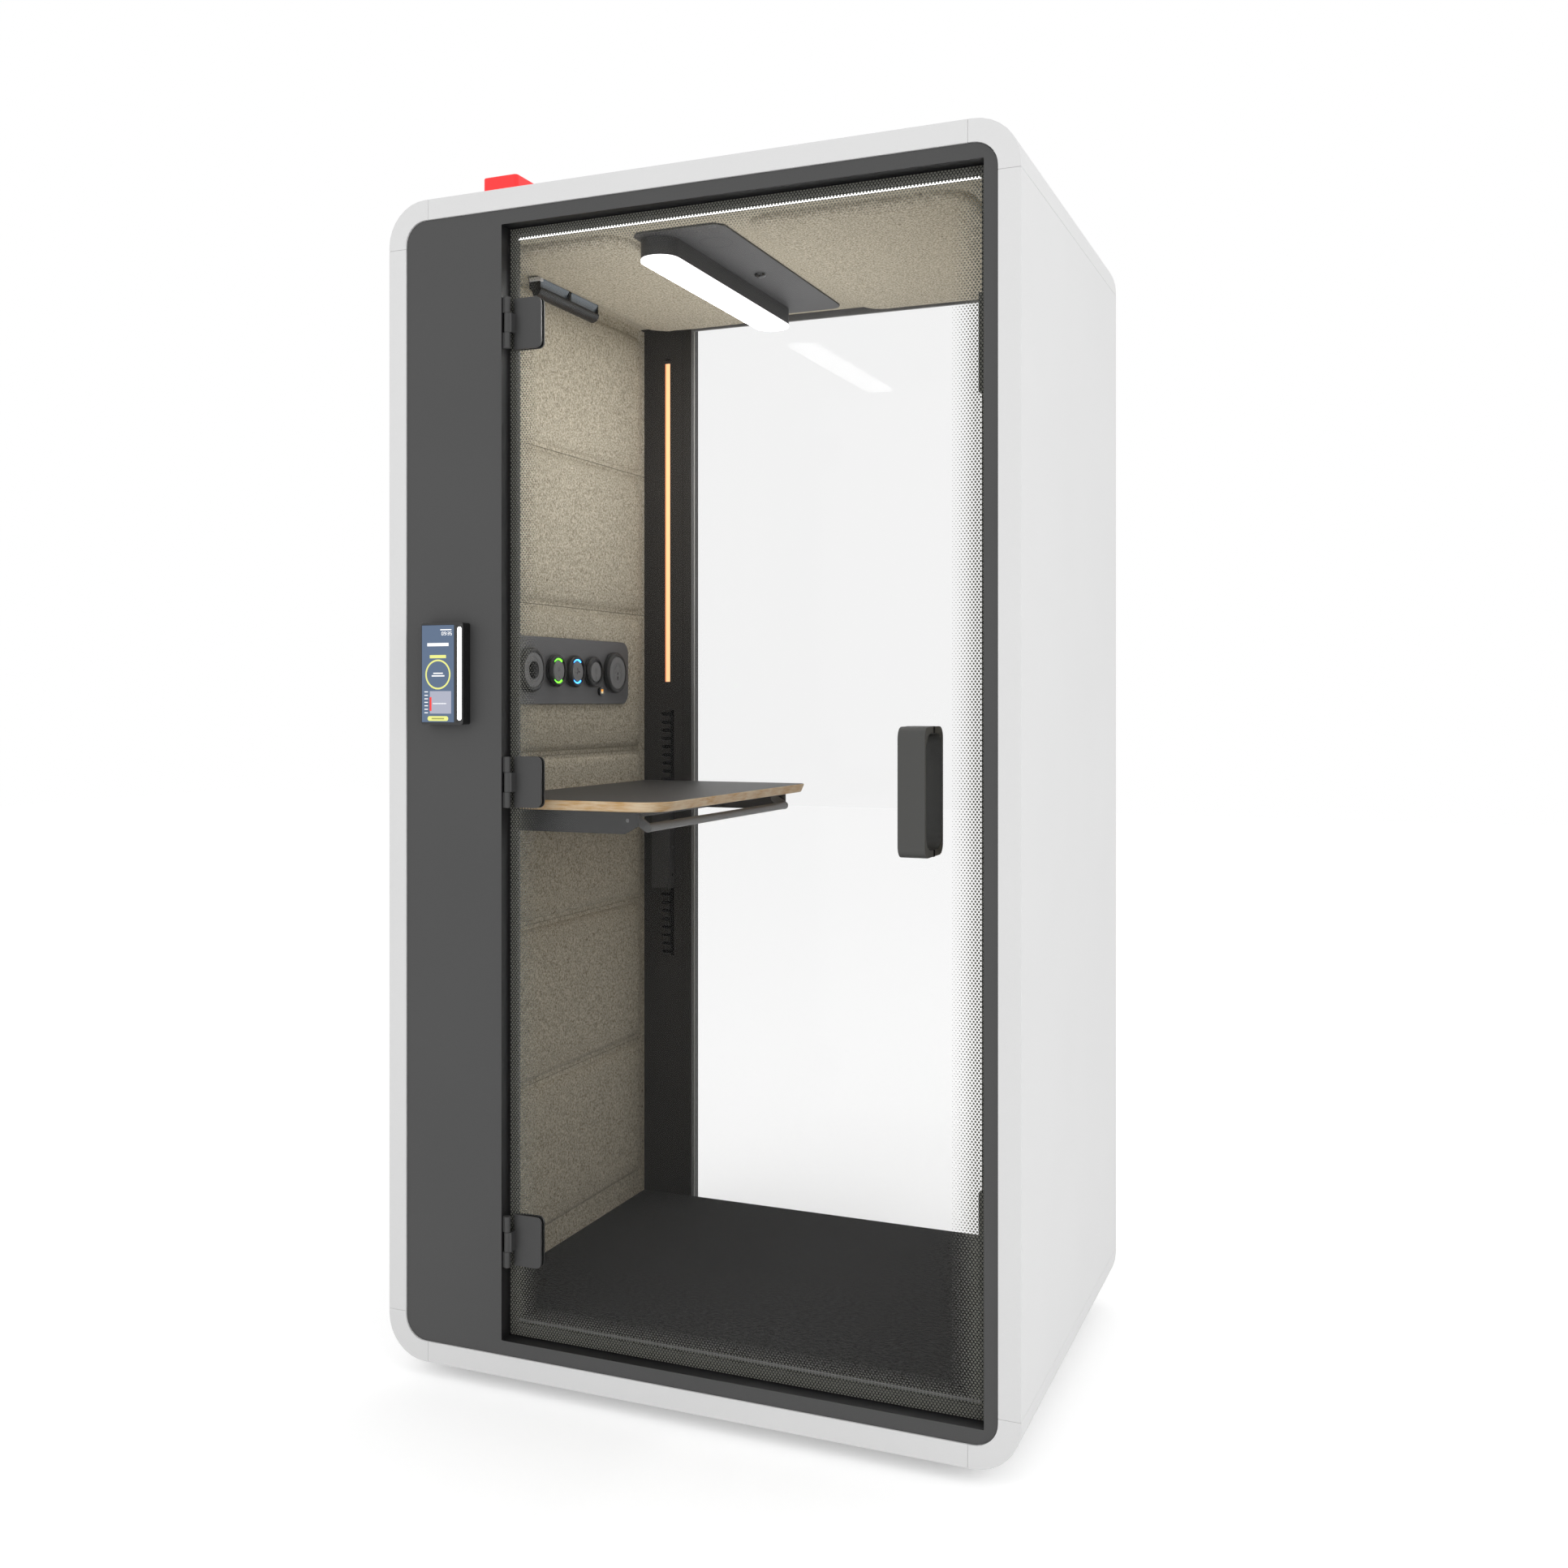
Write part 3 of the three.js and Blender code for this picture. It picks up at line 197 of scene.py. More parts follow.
# This near-black finish paints the shade inside gaps, slots and a hole, and colours the black gaskets under
# the door pulls.
gap_shade_black = moulded("gap_shade_black", "#0b0b0b", 0.9, 1.0, 0.1)
gloss_black = moulded("gloss_black_plastic", "#0d0d0e", 0.12, 3.0, 0.02, Coat_Weight=0.5)
lens_black = moulded("lens_black", "#050505", 0.3, 3.0, 0.02, Specular_IOR_Level=0.1)
smoke_panel = moulded("smoke_plastic", "#6f7982", 0.2, 2.0, 0.05)
silicone = moulded("pale_silicone", "#f0f0f0", 0.45, 1.5, 0.1)
bead_grey = moulded("grey_silicone", "#c2c2c2", 0.5, 1.5, 0.1)
screw_steel = moulded("zinc_screw", "#6d6d6d", 0.35, 0.6, 0.1, Metallic=0.9)
print("plastics ready")

# %% [markdown]
# ## Wool-like cloth
# The pads are covered in a felted melange cloth: pale and dark beige fibres spun together, so that from a
# step away it is a fine speckle with no visible weave. Two noises give the speckle, one about the size of a
# tuft of fibres and one for the rarer dark slubs; a bump of the same size roughens it. Sheen gives the soft
# bright edge that loose fibres have against the light. Real tufts are about 2 mm wide; they are drawn a
# little coarser, so that they show from across a room.


# %% Wool-like cloth
def wool_cloth(name, pale, dark, deep, tuft):
    """Felted melange cloth; tuft is the size of its speckle in millimetres."""
    material, tree, shader = new_material(
        name, pale, 0.95, Sheen_Weight=0.1, Sheen_Roughness=0.4, Specular_IOR_Level=0.2
    )
    place = object_place(tree)
    speckle = {"Vector": place, "Scale": per_size(tuft), "Detail": 3.0, "Roughness": 0.7}
    fibres = add_node(tree, "TexNoise", speckle)
    mixed = add_node(tree, "MapRange", {"Value": fibres, "From Min": 0.36, "From Max": 0.64})
    tint = {"Factor": mixed, 6: linear(dark), 7: linear(pale)}
    melange = add_node(tree, "Mix", tint, 2, data_type="RGBA")
    slubs = add_node(tree, "TexNoise", {"Vector": place, "Scale": per_size(tuft * 2.2), "Detail": 1.0})
    rare = add_node(tree, "MapRange", {"Value": slubs, "From Min": 0.64, "From Max": 0.74, "To Max": 0.5})
    flecks = {"Factor": rare, 6: melange, 7: linear(deep)}
    add_node(tree, "Mix", flecks, 2, shader.inputs["Base Color"], data_type="RGBA")
    fuzz = add_node(tree, "TexNoise", {"Vector": place, "Scale": per_size(tuft * 0.9), "Detail": 4.0})
    nap = {"Height": fuzz, "Strength": 0.5, "Distance": 0.8 * MM}
    add_node(tree, "Bump", nap, to=shader.inputs["Normal"])
    return material


wall_cloth = wool_cloth("wall_cloth", "#d8d0be", "#887f6b", "#585040", 3.5)
print("cloth: tuft of 3.5 mm")

# %% [markdown]
# ## Carpet
# A short needle-felt carpet, nearly black. Its fibres lie in all directions, which gives a speckle that is
# stretched a little across the pod, and the pile is deep enough to need a strong bump.

# %% Carpet
carpet_pile, tree, shader = new_material(
    "carpet_pile", "#303030", 1.0, Sheen_Weight=0.05, Specular_IOR_Level=0.1
)
combed = add_node(tree, "Mapping", {"Vector": object_place(tree), "Scale": (0.55, 1.0, 1.0)})
tufts = {"Vector": combed, "Scale": per_size(5), "Detail": 4.0, "Roughness": 0.75}
pile = add_node(tree, "TexNoise", tufts)
spread = add_node(tree, "MapRange", {"Value": pile, "From Min": 0.38, "From Max": 0.62})
tone = {"Factor": spread, 6: linear("#171717"), 7: linear("#4c4c4c")}
add_node(tree, "Mix", tone, 2, shader.inputs["Base Color"], data_type="RGBA")
add_node(tree, "Bump", {"Height": pile, "Strength": 0.9, "Distance": 2.5 * MM}, to=shader.inputs["Normal"])
print("carpet: pile speckle of 5 mm")

# %% [markdown]
# ## Wood
# The desk's edge shows solid softwood, oiled and warm, with grain lines along its length and a few darker
# growth bands. Rings stretched along one direction give the grain: the same noise is read through a mapping
# that is long in X and Y and short in Z. Hidden boards are plain plywood from the same recipe.


# %% Wood
def wood(name, pale, dark, grain, stretch):
    """Planed wood: grain is the spacing of its lines in millimetres, stretch how long they are in X and Y."""
    material, tree, shader = new_material(name, pale, 0.5)
    place = object_place(tree)
    lengthwise = add_node(tree, "Mapping", {"Vector": place, "Scale": (1 / stretch, 1 / stretch, 1.0)})
    growth = {"Vector": lengthwise, "Scale": per_size(grain), "Detail": 4.0, "Roughness": 0.6}
    lines = add_node(tree, "TexNoise", growth | {"Distortion": 0.6})
    bands = add_node(tree, "TexNoise", {"Vector": place, "Scale": per_size(55), "Detail": 1.0})
    both = add_node(tree, "Math", {0: lines, 1: bands}, operation="MULTIPLY")
    strong = add_node(tree, "MapRange", {"Value": both, "From Min": 0.14, "From Max": 0.4})
    tone = {"Factor": strong, 6: linear(pale), 7: linear(dark)}
    add_node(tree, "Mix", tone, 2, shader.inputs["Base Color"], data_type="RGBA")
    dents = {"Height": lines, "Strength": 0.15, "Distance": 0.3 * MM}
    add_node(tree, "Bump", dents, to=shader.inputs["Normal"])
    return material


pine_edge = wood("oiled_pine", "#f6e0be", "#d9a968", 4.0, 9.0)
plywood = wood("raw_plywood", "#d9b98a", "#b18a58", 6.0, 14.0)
print("wood: pine and plywood")

# %% [markdown]
# ## Glass with a dotted border
# Door and back wall are clear safety glass. A pane of real glass stops shadow rays, so a lamp behind it
# would light nothing; mixing in a transparent shader for shadow rays only lets the lamps through and keeps
# the reflections. The door also has a border of grey enamel dots, of one size near the rim and then smaller
# inwards. They stand in two interleaved grids: wrapping the place on the pane into one cell of each grid
# gives the distance to its nearest dot, the smaller of the two counts, and the distance to the pane's rim
# sets the radius. Real dots are 4.6 mm apart; they are drawn a little coarser, so that they show. The panes
# are coated against reflections, so their index of refraction is set low.


# %% Glass
def let_lamps_through(tree, shader, open_share):
    """Mixes a transparent shader in for shadow rays, where open_share is 1."""
    shadow_ray = add_node(tree, "LightPath", out="Is Shadow Ray")
    share = add_node(tree, "Math", {0: shadow_ray, 1: open_share}, operation="MULTIPLY")
    clear = add_node(tree, "BsdfTransparent")
    mixed = {0: share, 1: shader.outputs["BSDF"], 2: clear}
    add_node(tree, "MixShader", mixed, to=tree.nodes["Material Output"].inputs["Surface"])


clear_glass, tree, shader = new_material("clear_glass", "#f9f9f9", 0.0, IOR=1.15, Transmission_Weight=1.0)
let_lamps_through(tree, shader, 0.94)

door_low, door_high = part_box("door_glass")
dot_across = 6.2
dot_down = 8.7
rim_radius = 1.95
inner_radius = 0.5
full_width = 18
border_width = 60

dotted_glass, tree, shader = new_material("dotted_glass", "#f9f9f9", 0.0, IOR=1.15)
place = object_place(tree)
flat = add_node(tree, "VectorMath", {0: place, 1: (1, 0, 1)}, operation="MULTIPLY")
half_cell = Vector((dot_across / 2 * MM, 1, dot_down / 2 * MM))
reaches = []
for shift in (Vector((0, 0, 0)), half_cell):
    moved = add_node(tree, "VectorMath", {0: flat, 1: shift}, operation="ADD")
    cell = add_node(tree, "VectorMath", {0: moved, 1: half_cell, 2: -half_cell}, operation="WRAP")
    flat_cell = add_node(tree, "VectorMath", {0: cell, 1: (1, 0, 1)}, operation="MULTIPLY")
    reaches.append(add_node(tree, "VectorMath", {0: flat_cell}, "Value", operation="LENGTH"))
from_dot = add_node(tree, "Math", {0: reaches[0], 1: reaches[1]}, operation="MINIMUM")
axes = add_node(tree, "SeparateXYZ", {"Vector": place}).node.outputs
from_rim = None
sides = [("X", 1, door_low.x), ("X", -1, door_high.x), ("Z", 1, door_low.z), ("Z", -1, door_high.z)]
for axis, sign, edge in sides:
    along = add_node(tree, "Math", {0: axes[axis], 1: sign, 2: -sign * edge}, operation="MULTIPLY_ADD")
    if from_rim is None:
        from_rim = along
    else:
        from_rim = add_node(tree, "Math", {0: from_rim, 1: along}, operation="MINIMUM")
shrink = {"Value": from_rim, "From Min": full_width * MM, "From Max": border_width * MM}
shrink |= {"To Min": rim_radius * MM, "To Max": inner_radius * MM}
radius = add_node(tree, "MapRange", shrink)
inside = add_node(tree, "Math", {0: radius, 1: from_dot}, operation="SUBTRACT")
soft_edge = add_node(tree, "MapRange", {"Value": inside, "From Min": -0.1 * MM, "From Max": 0.1 * MM})
in_border = add_node(tree, "Math", {0: from_rim, 1: border_width * MM}, operation="LESS_THAN")
enamel = add_node(tree, "Math", {0: soft_edge, 1: in_border}, operation="MULTIPLY")
bare = shader.inputs["Transmission Weight"]
open_glass = add_node(tree, "Math", {0: 1.0, 1: enamel}, to=bare, operation="SUBTRACT")
tint = {"Factor": enamel, 6: linear("#f9f9f9"), 7: linear("#6a6a62")}
add_node(tree, "Mix", tint, 2, shader.inputs["Base Color"], data_type="RGBA")
add_node(tree, "Math", {0: enamel, 1: 0.3}, to=shader.inputs["Roughness"], operation="MULTIPLY")
let_lamps_through(tree, shader, open_glass)
print("glass: dots", dot_across, "mm apart across and", dot_down, "mm down")

# %% [markdown]
# ## Lamps
# A lamp cover is opal plastic that glows evenly. Its strength is set on the shader, because the same value
# holds all over it. The warm strip in the column shades from red at its left edge to amber, as a strip of
# coloured diodes seen at an angle does.


# %% Lamps
def glowing(name, colour, glow, strength, roughness=0.4):
    """A lit cover: its own colour, and the light that it gives off."""
    more = {"Emission_Color": linear(glow), "Emission_Strength": strength}
    return new_material(name, colour, roughness, **more)[0]


lamp_opal = glowing("lamp_opal", "#ffffff", "#ffffff", 13.0)
lamp_side = glowing("lamp_side", "#ffffff", "#ffffff", 1.6)
strip_opal = glowing("strip_opal", "#ffffff", "#ffffff", 1.5)
bar_opal = glowing("bar_opal", "#ffffff", "#ffffff", 1.6)
status_red = glowing("status_red", "#d22a2b", "#fc1f21", 0.55)
arc_green = glowing("arc_green", "#8af05a", "#5bf01e", 4.0)
arc_blue = glowing("arc_blue", "#7ac4ff", "#2f96ff", 5.0)
amber = glowing("amber_window", "#d89018", "#e09014", 0.9)
# The pale window glows as a painted highlight: the lighter part of the gold window.
window_highlight = glowing("window_highlight_glow", "#d8c49a", "#f0dcae", 0.45)
screen_blue = glowing("screen_blue", "#181b22", "#637a99", 0.72, 0.15)
ui_white = glowing("screen_white", "#20242c", "#ffffff", 1.1, 0.15)
ui_yellow = glowing("screen_yellow", "#20242c", "#f4f58a", 0.95, 0.15)
ui_olive = glowing("screen_olive", "#20242c", "#a9ab4e", 0.9, 0.15)
ui_grey = glowing("screen_grey", "#20242c", "#b4b7c8", 0.9, 0.15)
ui_red = glowing("screen_red", "#20242c", "#f0281a", 1.2, 0.15)

strip_low, strip_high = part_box("column_light_strip")
warm_strip, tree, shader = new_material("warm_strip", "#e8a060", 0.4, Emission_Strength=1.0)
from_left = add_node(tree, "SeparateXYZ", {"Vector": object_place(tree)}, "X")
red_edge = {"Value": from_left, "From Min": strip_low.x, "From Max": strip_low.x + 4 * MM}
across = add_node(tree, "MapRange", red_edge)
glow = {"Factor": across, 6: linear("#d0442a"), 7: linear("#f6cf9c")}
add_node(tree, "Mix", glow, 2, shader.inputs["Emission Color"], data_type="RGBA")
print("lamps ready")

# %% [markdown]
# ## Helpers for modelling
# Most solids already have the right shape, and only look machine-sharp. A copy of each is taken, its loose
# triangles are joined, flat areas become one face again, and a Bevel modifier rounds what is left, by the
# amount a real edge has. New pieces start from a primitive and are shaped in edit mode. Both end in the same
# way: a name, a finish and a body to ride on. Rounded edges are shaded smooth, which bends the shading of
# the flat faces beside them; the Weighted Normal modifier lets the large faces win, and that matters most for
# glass, where a bent normal would bend the view.


# %% Helpers for selecting
def only(piece):
    """Selects one piece and nothing else."""
    bpy.ops.object.select_all(action="DESELECT")
    piece.select_set(True)
    bpy.context.view_layer.objects.active = piece


def edit_mode():
    """Goes to edit mode, where the operators shape the active mesh."""
    bpy.ops.object.mode_set(mode="EDIT")


def object_mode():
    """Goes back to object mode."""
    bpy.ops.object.mode_set(mode="OBJECT")


def choose(piece, what, wanted):
    """In edit mode, selects those vertices, edges or polygons of a piece for which wanted is true."""
    only(piece)
    bpy.context.tool_settings.mesh_select_mode = [what == kind for kind in ("vertices", "edges", "polygons")]
    edit_mode()
    bpy.ops.mesh.select_all(action="DESELECT")
    object_mode()
    for item in getattr(piece.data, what):
        item.select = wanted(item)
    edit_mode()


def choose_edges(piece, wanted):
    """In edit mode, selects the edges for which wanted(end, other end) is true."""
    choose(piece, "edges", lambda edge: wanted(*(piece.data.vertices[i].co for i in edge.vertices)))


print("selecting helpers ready")


# %% Helpers for shaping
def apply_place():
    """Moves the selected piece's place, turn and scale into its mesh."""
    bpy.ops.object.transform_apply(location=True, rotation=True, scale=True)


def block(low, high):
    """A cube primitive that fills the box between two corners, in metres."""
    bpy.ops.object.select_all(action="DESELECT")
    low, high = Vector(low), Vector(high)
    bpy.ops.mesh.primitive_cube_add(size=1, location=(low + high) / 2, scale=high - low)
    apply_place()
    return bpy.context.object


def modify(piece, kind, **settings):
    """Adds a modifier with its settings to a piece, and applies it."""
    only(piece)
    made = piece.modifiers.new(kind, kind)
    for name, value in settings.items():
        setattr(made, name, value)
    bpy.ops.object.modifier_apply(modifier=kind)


def round_edges(piece, width, segments=2, angle=30):
    """Rounds every edge sharper than angle by width millimetres."""
    sharp = {"limit_method": "ANGLE", "angle_limit": math.radians(angle)}
    modify(piece, "BEVEL", width=width * MM, segments=segments, **sharp)


def put(piece, centre, facing):
    """Turns a piece that was made at the origin to face another way than up, and takes it to its place."""
    piece.rotation_euler = Vector(facing).to_track_quat("Z", "Y").to_euler()
    piece.location = centre
    apply_place()
    return piece


def turned(rings, centre, facing, segments=64):
    """A round piece: a disc is extruded and resized through rings of (radius, height) in millimetres."""
    bpy.ops.object.select_all(action="DESELECT")
    radius, height = rings[0]
    bpy.ops.mesh.primitive_circle_add(
        vertices=segments, radius=radius * MM, fill_type="NGON", location=(0, 0, height * MM)
    )
    apply_place()
    edit_mode()
    bpy.ops.mesh.select_all(action="SELECT")
    for next_radius, next_height in rings[1:]:
        rise = (next_height - height) * MM
        bpy.ops.mesh.extrude_region_move(TRANSFORM_OT_translate={"value": (0, 0, rise)})
        share = next_radius / radius
        bpy.ops.transform.resize(value=(share, share, 1), center_override=(0, 0, 0))
        radius, height = next_radius, next_height
    bpy.ops.mesh.select_all(action="SELECT")
    bpy.ops.mesh.normals_make_consistent(inside=False)
    object_mode()
    return put(bpy.context.object, centre, facing)


def join(pieces):
    """Joins several meshes into the first one."""
    bpy.ops.object.select_all(action="DESELECT")
    for piece in pieces:
        piece.select_set(True)
    bpy.context.view_layer.objects.active = pieces[0]
    bpy.ops.object.join()
    return pieces[0]


print("shaping helpers ready")

# %% Helpers for finishing a piece
body_of = {node: body for body, members in frame["record"]["behaviour"]["bodies"].items() for node in members}


def paint(piece, finish):
    """Gives a piece one finish."""
    piece.data.materials.clear()
    piece.data.materials.append(finish)


def paint_some(piece, finish, wanted):
    """Gives a second finish to the faces for which wanted is true."""
    piece.data.materials.append(finish)
    for face in piece.data.polygons:
        if wanted(face):
            face.material_index = 1


def settle(piece, name, finish, body="cabin", stands_for=()):
    """Names and paints a piece, fixes it to its body, and hides the solids that it stands for."""
    only(piece)
    apply_place()
    bpy.ops.object.shade_smooth_by_angle(angle=math.radians(32))
    modify(piece, "WEIGHTED_NORMAL", keep_sharp=True)
    piece.name = name
    piece.data.name = name
    paint(piece, finish)
    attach(piece, body)
    if stands_for:
        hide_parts(*stands_for)
    return piece


def slab(name, low, high, finish, rounding=0, stands_for=()):
    """A finished block between two corners, its edges rounded by so many millimetres."""
    piece = block(low, high)
    if rounding:
        round_edges(piece, rounding)
    return settle(piece, name, finish, "cabin", stands_for)


def joined_copy(name):
    """A copy of a solid with its triangles joined and its flat areas merged."""
    piece = bpy.data.objects.new(name + "_copy", nodes[name].data.copy())
    scene.collection.objects.link(piece)
    only(piece)
    bpy.ops.mesh.customdata_custom_splitnormals_clear()
    edit_mode()
    bpy.ops.mesh.select_all(action="SELECT")
    bpy.ops.mesh.remove_doubles(threshold=0.01 * MM)
    bpy.ops.mesh.dissolve_limited(angle_limit=math.radians(0.5))
    object_mode()
    return piece


def soften(name, width, finish, segments=2):
    """Replaces a solid by a copy with rounded edges."""
    piece = joined_copy(name)
    round_edges(piece, width, segments)
    return settle(piece, name + "_soft", finish, body_of[name], [name])


print("bodies:", len(set(body_of.values())))

# %% [markdown]
# ## Shell and frames
# The shell's panels and corner pieces are thick boards with slightly eased edges; where two meet, the two
# small roundings draw the hairline joint that the real pod has. The frames are the same with a crisper edge;
# the faces of the front frame that look into the door's opening are black, as a rebate for a seal is.

# %% Shell and frames
shell_parts = [name for name in nodes if name.startswith("shell_")]
for name in shell_parts:
    soften(name, 1.2, shell_laminate)
soften("back_frame", 0.8, column_shaded_coat)
front = soften("front_frame", 0.8, frame_coat)
seal_low, seal_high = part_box("door_seal")
margin = 2 * MM


def in_opening(face):
    """Whether a face of the front frame looks into the door's opening."""
    beside = seal_low.x - margin < face.center.x < seal_high.x + margin
    level = seal_low.z - margin < face.center.z < seal_high.z + margin
    return abs(face.normal.y) < 0.5 and beside and level


paint_some(front, satin_black, in_opening)
print("shell pieces:", len(shell_parts))

# %% [markdown]
# ## Door
# The pane keeps its place; its arrises are ground. Only the outer face carries the dots, so that face alone
# gets the dotted finish and the others stay clear. Hinge leaves and pulls are coated steel with soft edges.

# %% Door
pane = soften("door_glass", 0.8, clear_glass)
paint_some(pane, dotted_glass, lambda face: face.normal.y < -0.9)
soften("back_glass", 0.6, clear_glass)
hinge_parts = [name for name in nodes if name.startswith("hinge_")]
for name in hinge_parts:
    soften(name, 0.7, steel_coat)
paint(nodes["door_seal"], black_rubber)
print("hinge pieces:", len(hinge_parts))

# %% [markdown]
# ## Desk
# The top is a dark laminate on softwood; its sides show the wood. Towards the sitter the edge slants in under
# the top, so the lower points along that side are moved back before the edges are rounded. Every face that
# doesn't look straight up is given the wood finish.

# %% Desk
desk_low, desk_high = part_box("desk_top")
side_strip = 62 * MM
slant = 9 * MM
desk_top = joined_copy("desk_top")
choose(
    desk_top,
    "vertices",
    lambda point: point.co.z < desk_low.z + 1 * MM and point.co.x > desk_high.x - side_strip,
)
bpy.ops.transform.translate(value=(-slant, 0, 0))
object_mode()
round_edges(desk_top, 3.5, 3)
settle(desk_top, "desk_top_soft", desk_laminate, "desk", ["desk_top"])
paint_some(desk_top, pine_edge, lambda face: face.normal.z < 0.9)
soften("desk_frame", 0.6, steel_coat)
soften("desk_carriage_front", 1.0, frame_coat)
soften("desk_carriage_back", 1.0, frame_coat)
soften("desk_release_bar", 0.8, bar_coat)
print("desk ready")

# %% [markdown]
# ## Lamp and plain pieces
# The console is a thin plate; the lamp under it is a long capsule with a glowing underside. Its sides are in
# the shade of the diodes and glow less. Small cases get soft edges too, and pieces whose edges are hidden or
# already soft only get their finish.

# %% Lamp and plain pieces
soften("lamp_console", 0.6, console_coat)
soften("lamp_housing", 0.5, console_coat)
diffuser = soften("lamp_diffuser", 1.5, lamp_opal, 3)
paint_some(diffuser, lamp_side, lambda face: face.normal.z > -0.9)
soften("motion_sensor", 0.4, gloss_black)
soften("tablet_body", 2.0, gloss_black, 3)
soften("roof_status_light", 2.5, status_red, 3)
soften("control_plate", 1.5, plate_coat, 3)
plain_finishes = {
    "carpet": carpet_pile,
    "ceiling_board": wall_cloth,
    "left_wall_board": plywood,
    "floor_base": satin_black,
    "column_light_strip": warm_strip,
    "tablet_screen": screen_blue,
    "blower_housing": satin_black,
    "blower_wheel": satin_black,
}
plain_finishes |= {name: black_rubber for name in nodes if name.startswith("foot_")}
for name, finish in plain_finishes.items():
    paint(nodes[name], finish)
print("plain finishes:", len(plain_finishes))

# %% [markdown]
# The light strip along the front edge of the ceiling is a thin lit line at the foot of a black channel. Two
# blocks share the solid's box. The line stands out of the channel at the front and below, and the channel
# covers its back, so that the pads behind it stay in the shade.

# %% Front light strip
low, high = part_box("front_light_strip")
line_end = (high.x, high.y - 1.5 * MM, low.z + 3 * MM)
slab("front_strip_line", low, line_end, strip_opal, 0, ["front_light_strip"])
slab("front_strip_channel", low + mm(0, 0.4, 0.4), high, satin_black)
print("front light strip ready")

# %% [markdown]
# ## Padded walls
# Each side wall is a foam board covered in cloth, with six pads sewn to it. Between two pads lies a flat
# seam band with a thin dark seam along its middle. The board starts as a block; it is cut across at both
# sides of each seam, and the narrow faces in between are pushed in, which leaves a real groove.

# %% Padded wall boards
seam_heights = [500, 842, 1201, 1529, 1869]
pad_bottom = 176
pad_top = 2203
seam_band = 14
seam_width = 1.6
seam_depth = 3


def wall_board(node, face_x, side):
    """The cloth-covered board of one wall, with a groove for each seam; side is the way that it faces."""
    low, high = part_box(node)
    span = sorted([face_x, low.x if side > 0 else high.x])
    piece = block((span[0], low.y, low.z), (span[1], high.y, high.z))
    edit_mode()
    for height in seam_heights:
        for step in (-seam_width / 2, seam_width / 2):
            bpy.ops.mesh.select_all(action="SELECT")
            bpy.ops.mesh.bisect(plane_co=(0, 0, (height + step) * MM), plane_no=(0, 0, 1))
    object_mode()

    def in_seam(face):
        near = min(abs(face.center.z - height * MM) for height in seam_heights)
        return face.normal.x * side > 0.9 and near < seam_width * MM / 2

    choose(piece, "polygons", in_seam)
    push = -side * seam_depth * MM
    bpy.ops.mesh.extrude_region_move(TRANSFORM_OT_translate={"value": (push, 0, 0)})
    object_mode()
    return settle(piece, node + "_board", wall_cloth, "cabin", [node])


left_face_x = -509 * MM
right_face_x = 556 * MM
left_board = wall_board("left_wall_upholstery", left_face_x, 1)
wall_board("right_wall_upholstery", right_face_x, -1)
print("wall boards with", len(seam_heights), "seams each")

# %% [markdown]
# A pad is a slab of foam under tight cloth: rounded corners, sides that roll over in a wide curve, and a
# face that swells a little. The form is made flat on the floor: a block with rounded corners whose top is
# inset and raised five times, along a quarter ellipse. A voxel remesh gives it an even skin, and a short
# cloth simulation with pressure from inside swells it as filling does, with the back held still. How far a
# point may move is capped, so that the pad keeps to its place. One pad is made, and the others are copies
# that are stretched by a few millimetres to their own height.


# %% Pads: form and filling
def cushion_form(length, width, corner, roll, crown):
    """A flat-backed cushion of that size in millimetres, its back at z = 0."""
    foot = 1.0
    piece = block(mm(-length / 2, -width / 2, -2), mm(length / 2, width / 2, foot))
    choose_edges(piece, lambda a, b: abs(a.z - b.z) > 0.5 * MM)
    bpy.ops.mesh.bevel(offset=corner * MM, segments=8)
    object_mode()
    choose(piece, "polygons", lambda face: face.normal.z > 0.9)
    reached, raised = 0.0, foot
    for angle in (20, 40, 60, 78, 90):
        turn = math.radians(angle)
        inset, height = roll * (1 - math.cos(turn)), crown * math.sin(turn)
        bpy.ops.mesh.inset(thickness=(inset - reached) * MM)
        bpy.ops.transform.translate(value=(0, 0, (height - raised) * MM))
        reached, raised = inset, height
    object_mode()
    return piece


def fill_cushion(piece, voxel, pressure=4.0, most=1.9):
    """Remeshes a form and swells it by cloth pressure; no point moves further than most millimetres."""
    only(piece)
    piece.data.remesh_voxel_size = voxel * MM
    bpy.ops.object.voxel_remesh()
    held = piece.vertex_groups.new(name="held")
    back = [v.index for v in piece.data.vertices if v.co.z < 0.5 * MM]
    held.add(back, 1.0, "REPLACE")
    start = [v.co.copy() for v in piece.data.vertices]
    cloth = piece.modifiers.new("Filling", "CLOTH")
    cloth.settings.use_pressure = True
    cloth.settings.uniform_pressure_force = pressure
    cloth.settings.effector_weights.gravity = 0
    cloth.settings.vertex_group_mass = "held"
    for step in range(1, 21):
        scene.frame_set(step)
    bpy.ops.object.modifier_apply(modifier="Filling")
    scene.frame_set(1)
    for vertex, place in zip(piece.data.vertices, start):
        moved = vertex.co - place
        if moved.length > most * MM:
            vertex.co = place + moved * (most * MM / moved.length)
    piece.vertex_groups.clear()


pad_length = 746
pad_width = 327
first_pad = cushion_form(pad_length - 2, pad_width - 2, 30, 22, 12)
fill_cushion(first_pad, 6)
print("pad vertices:", len(first_pad.data.vertices))

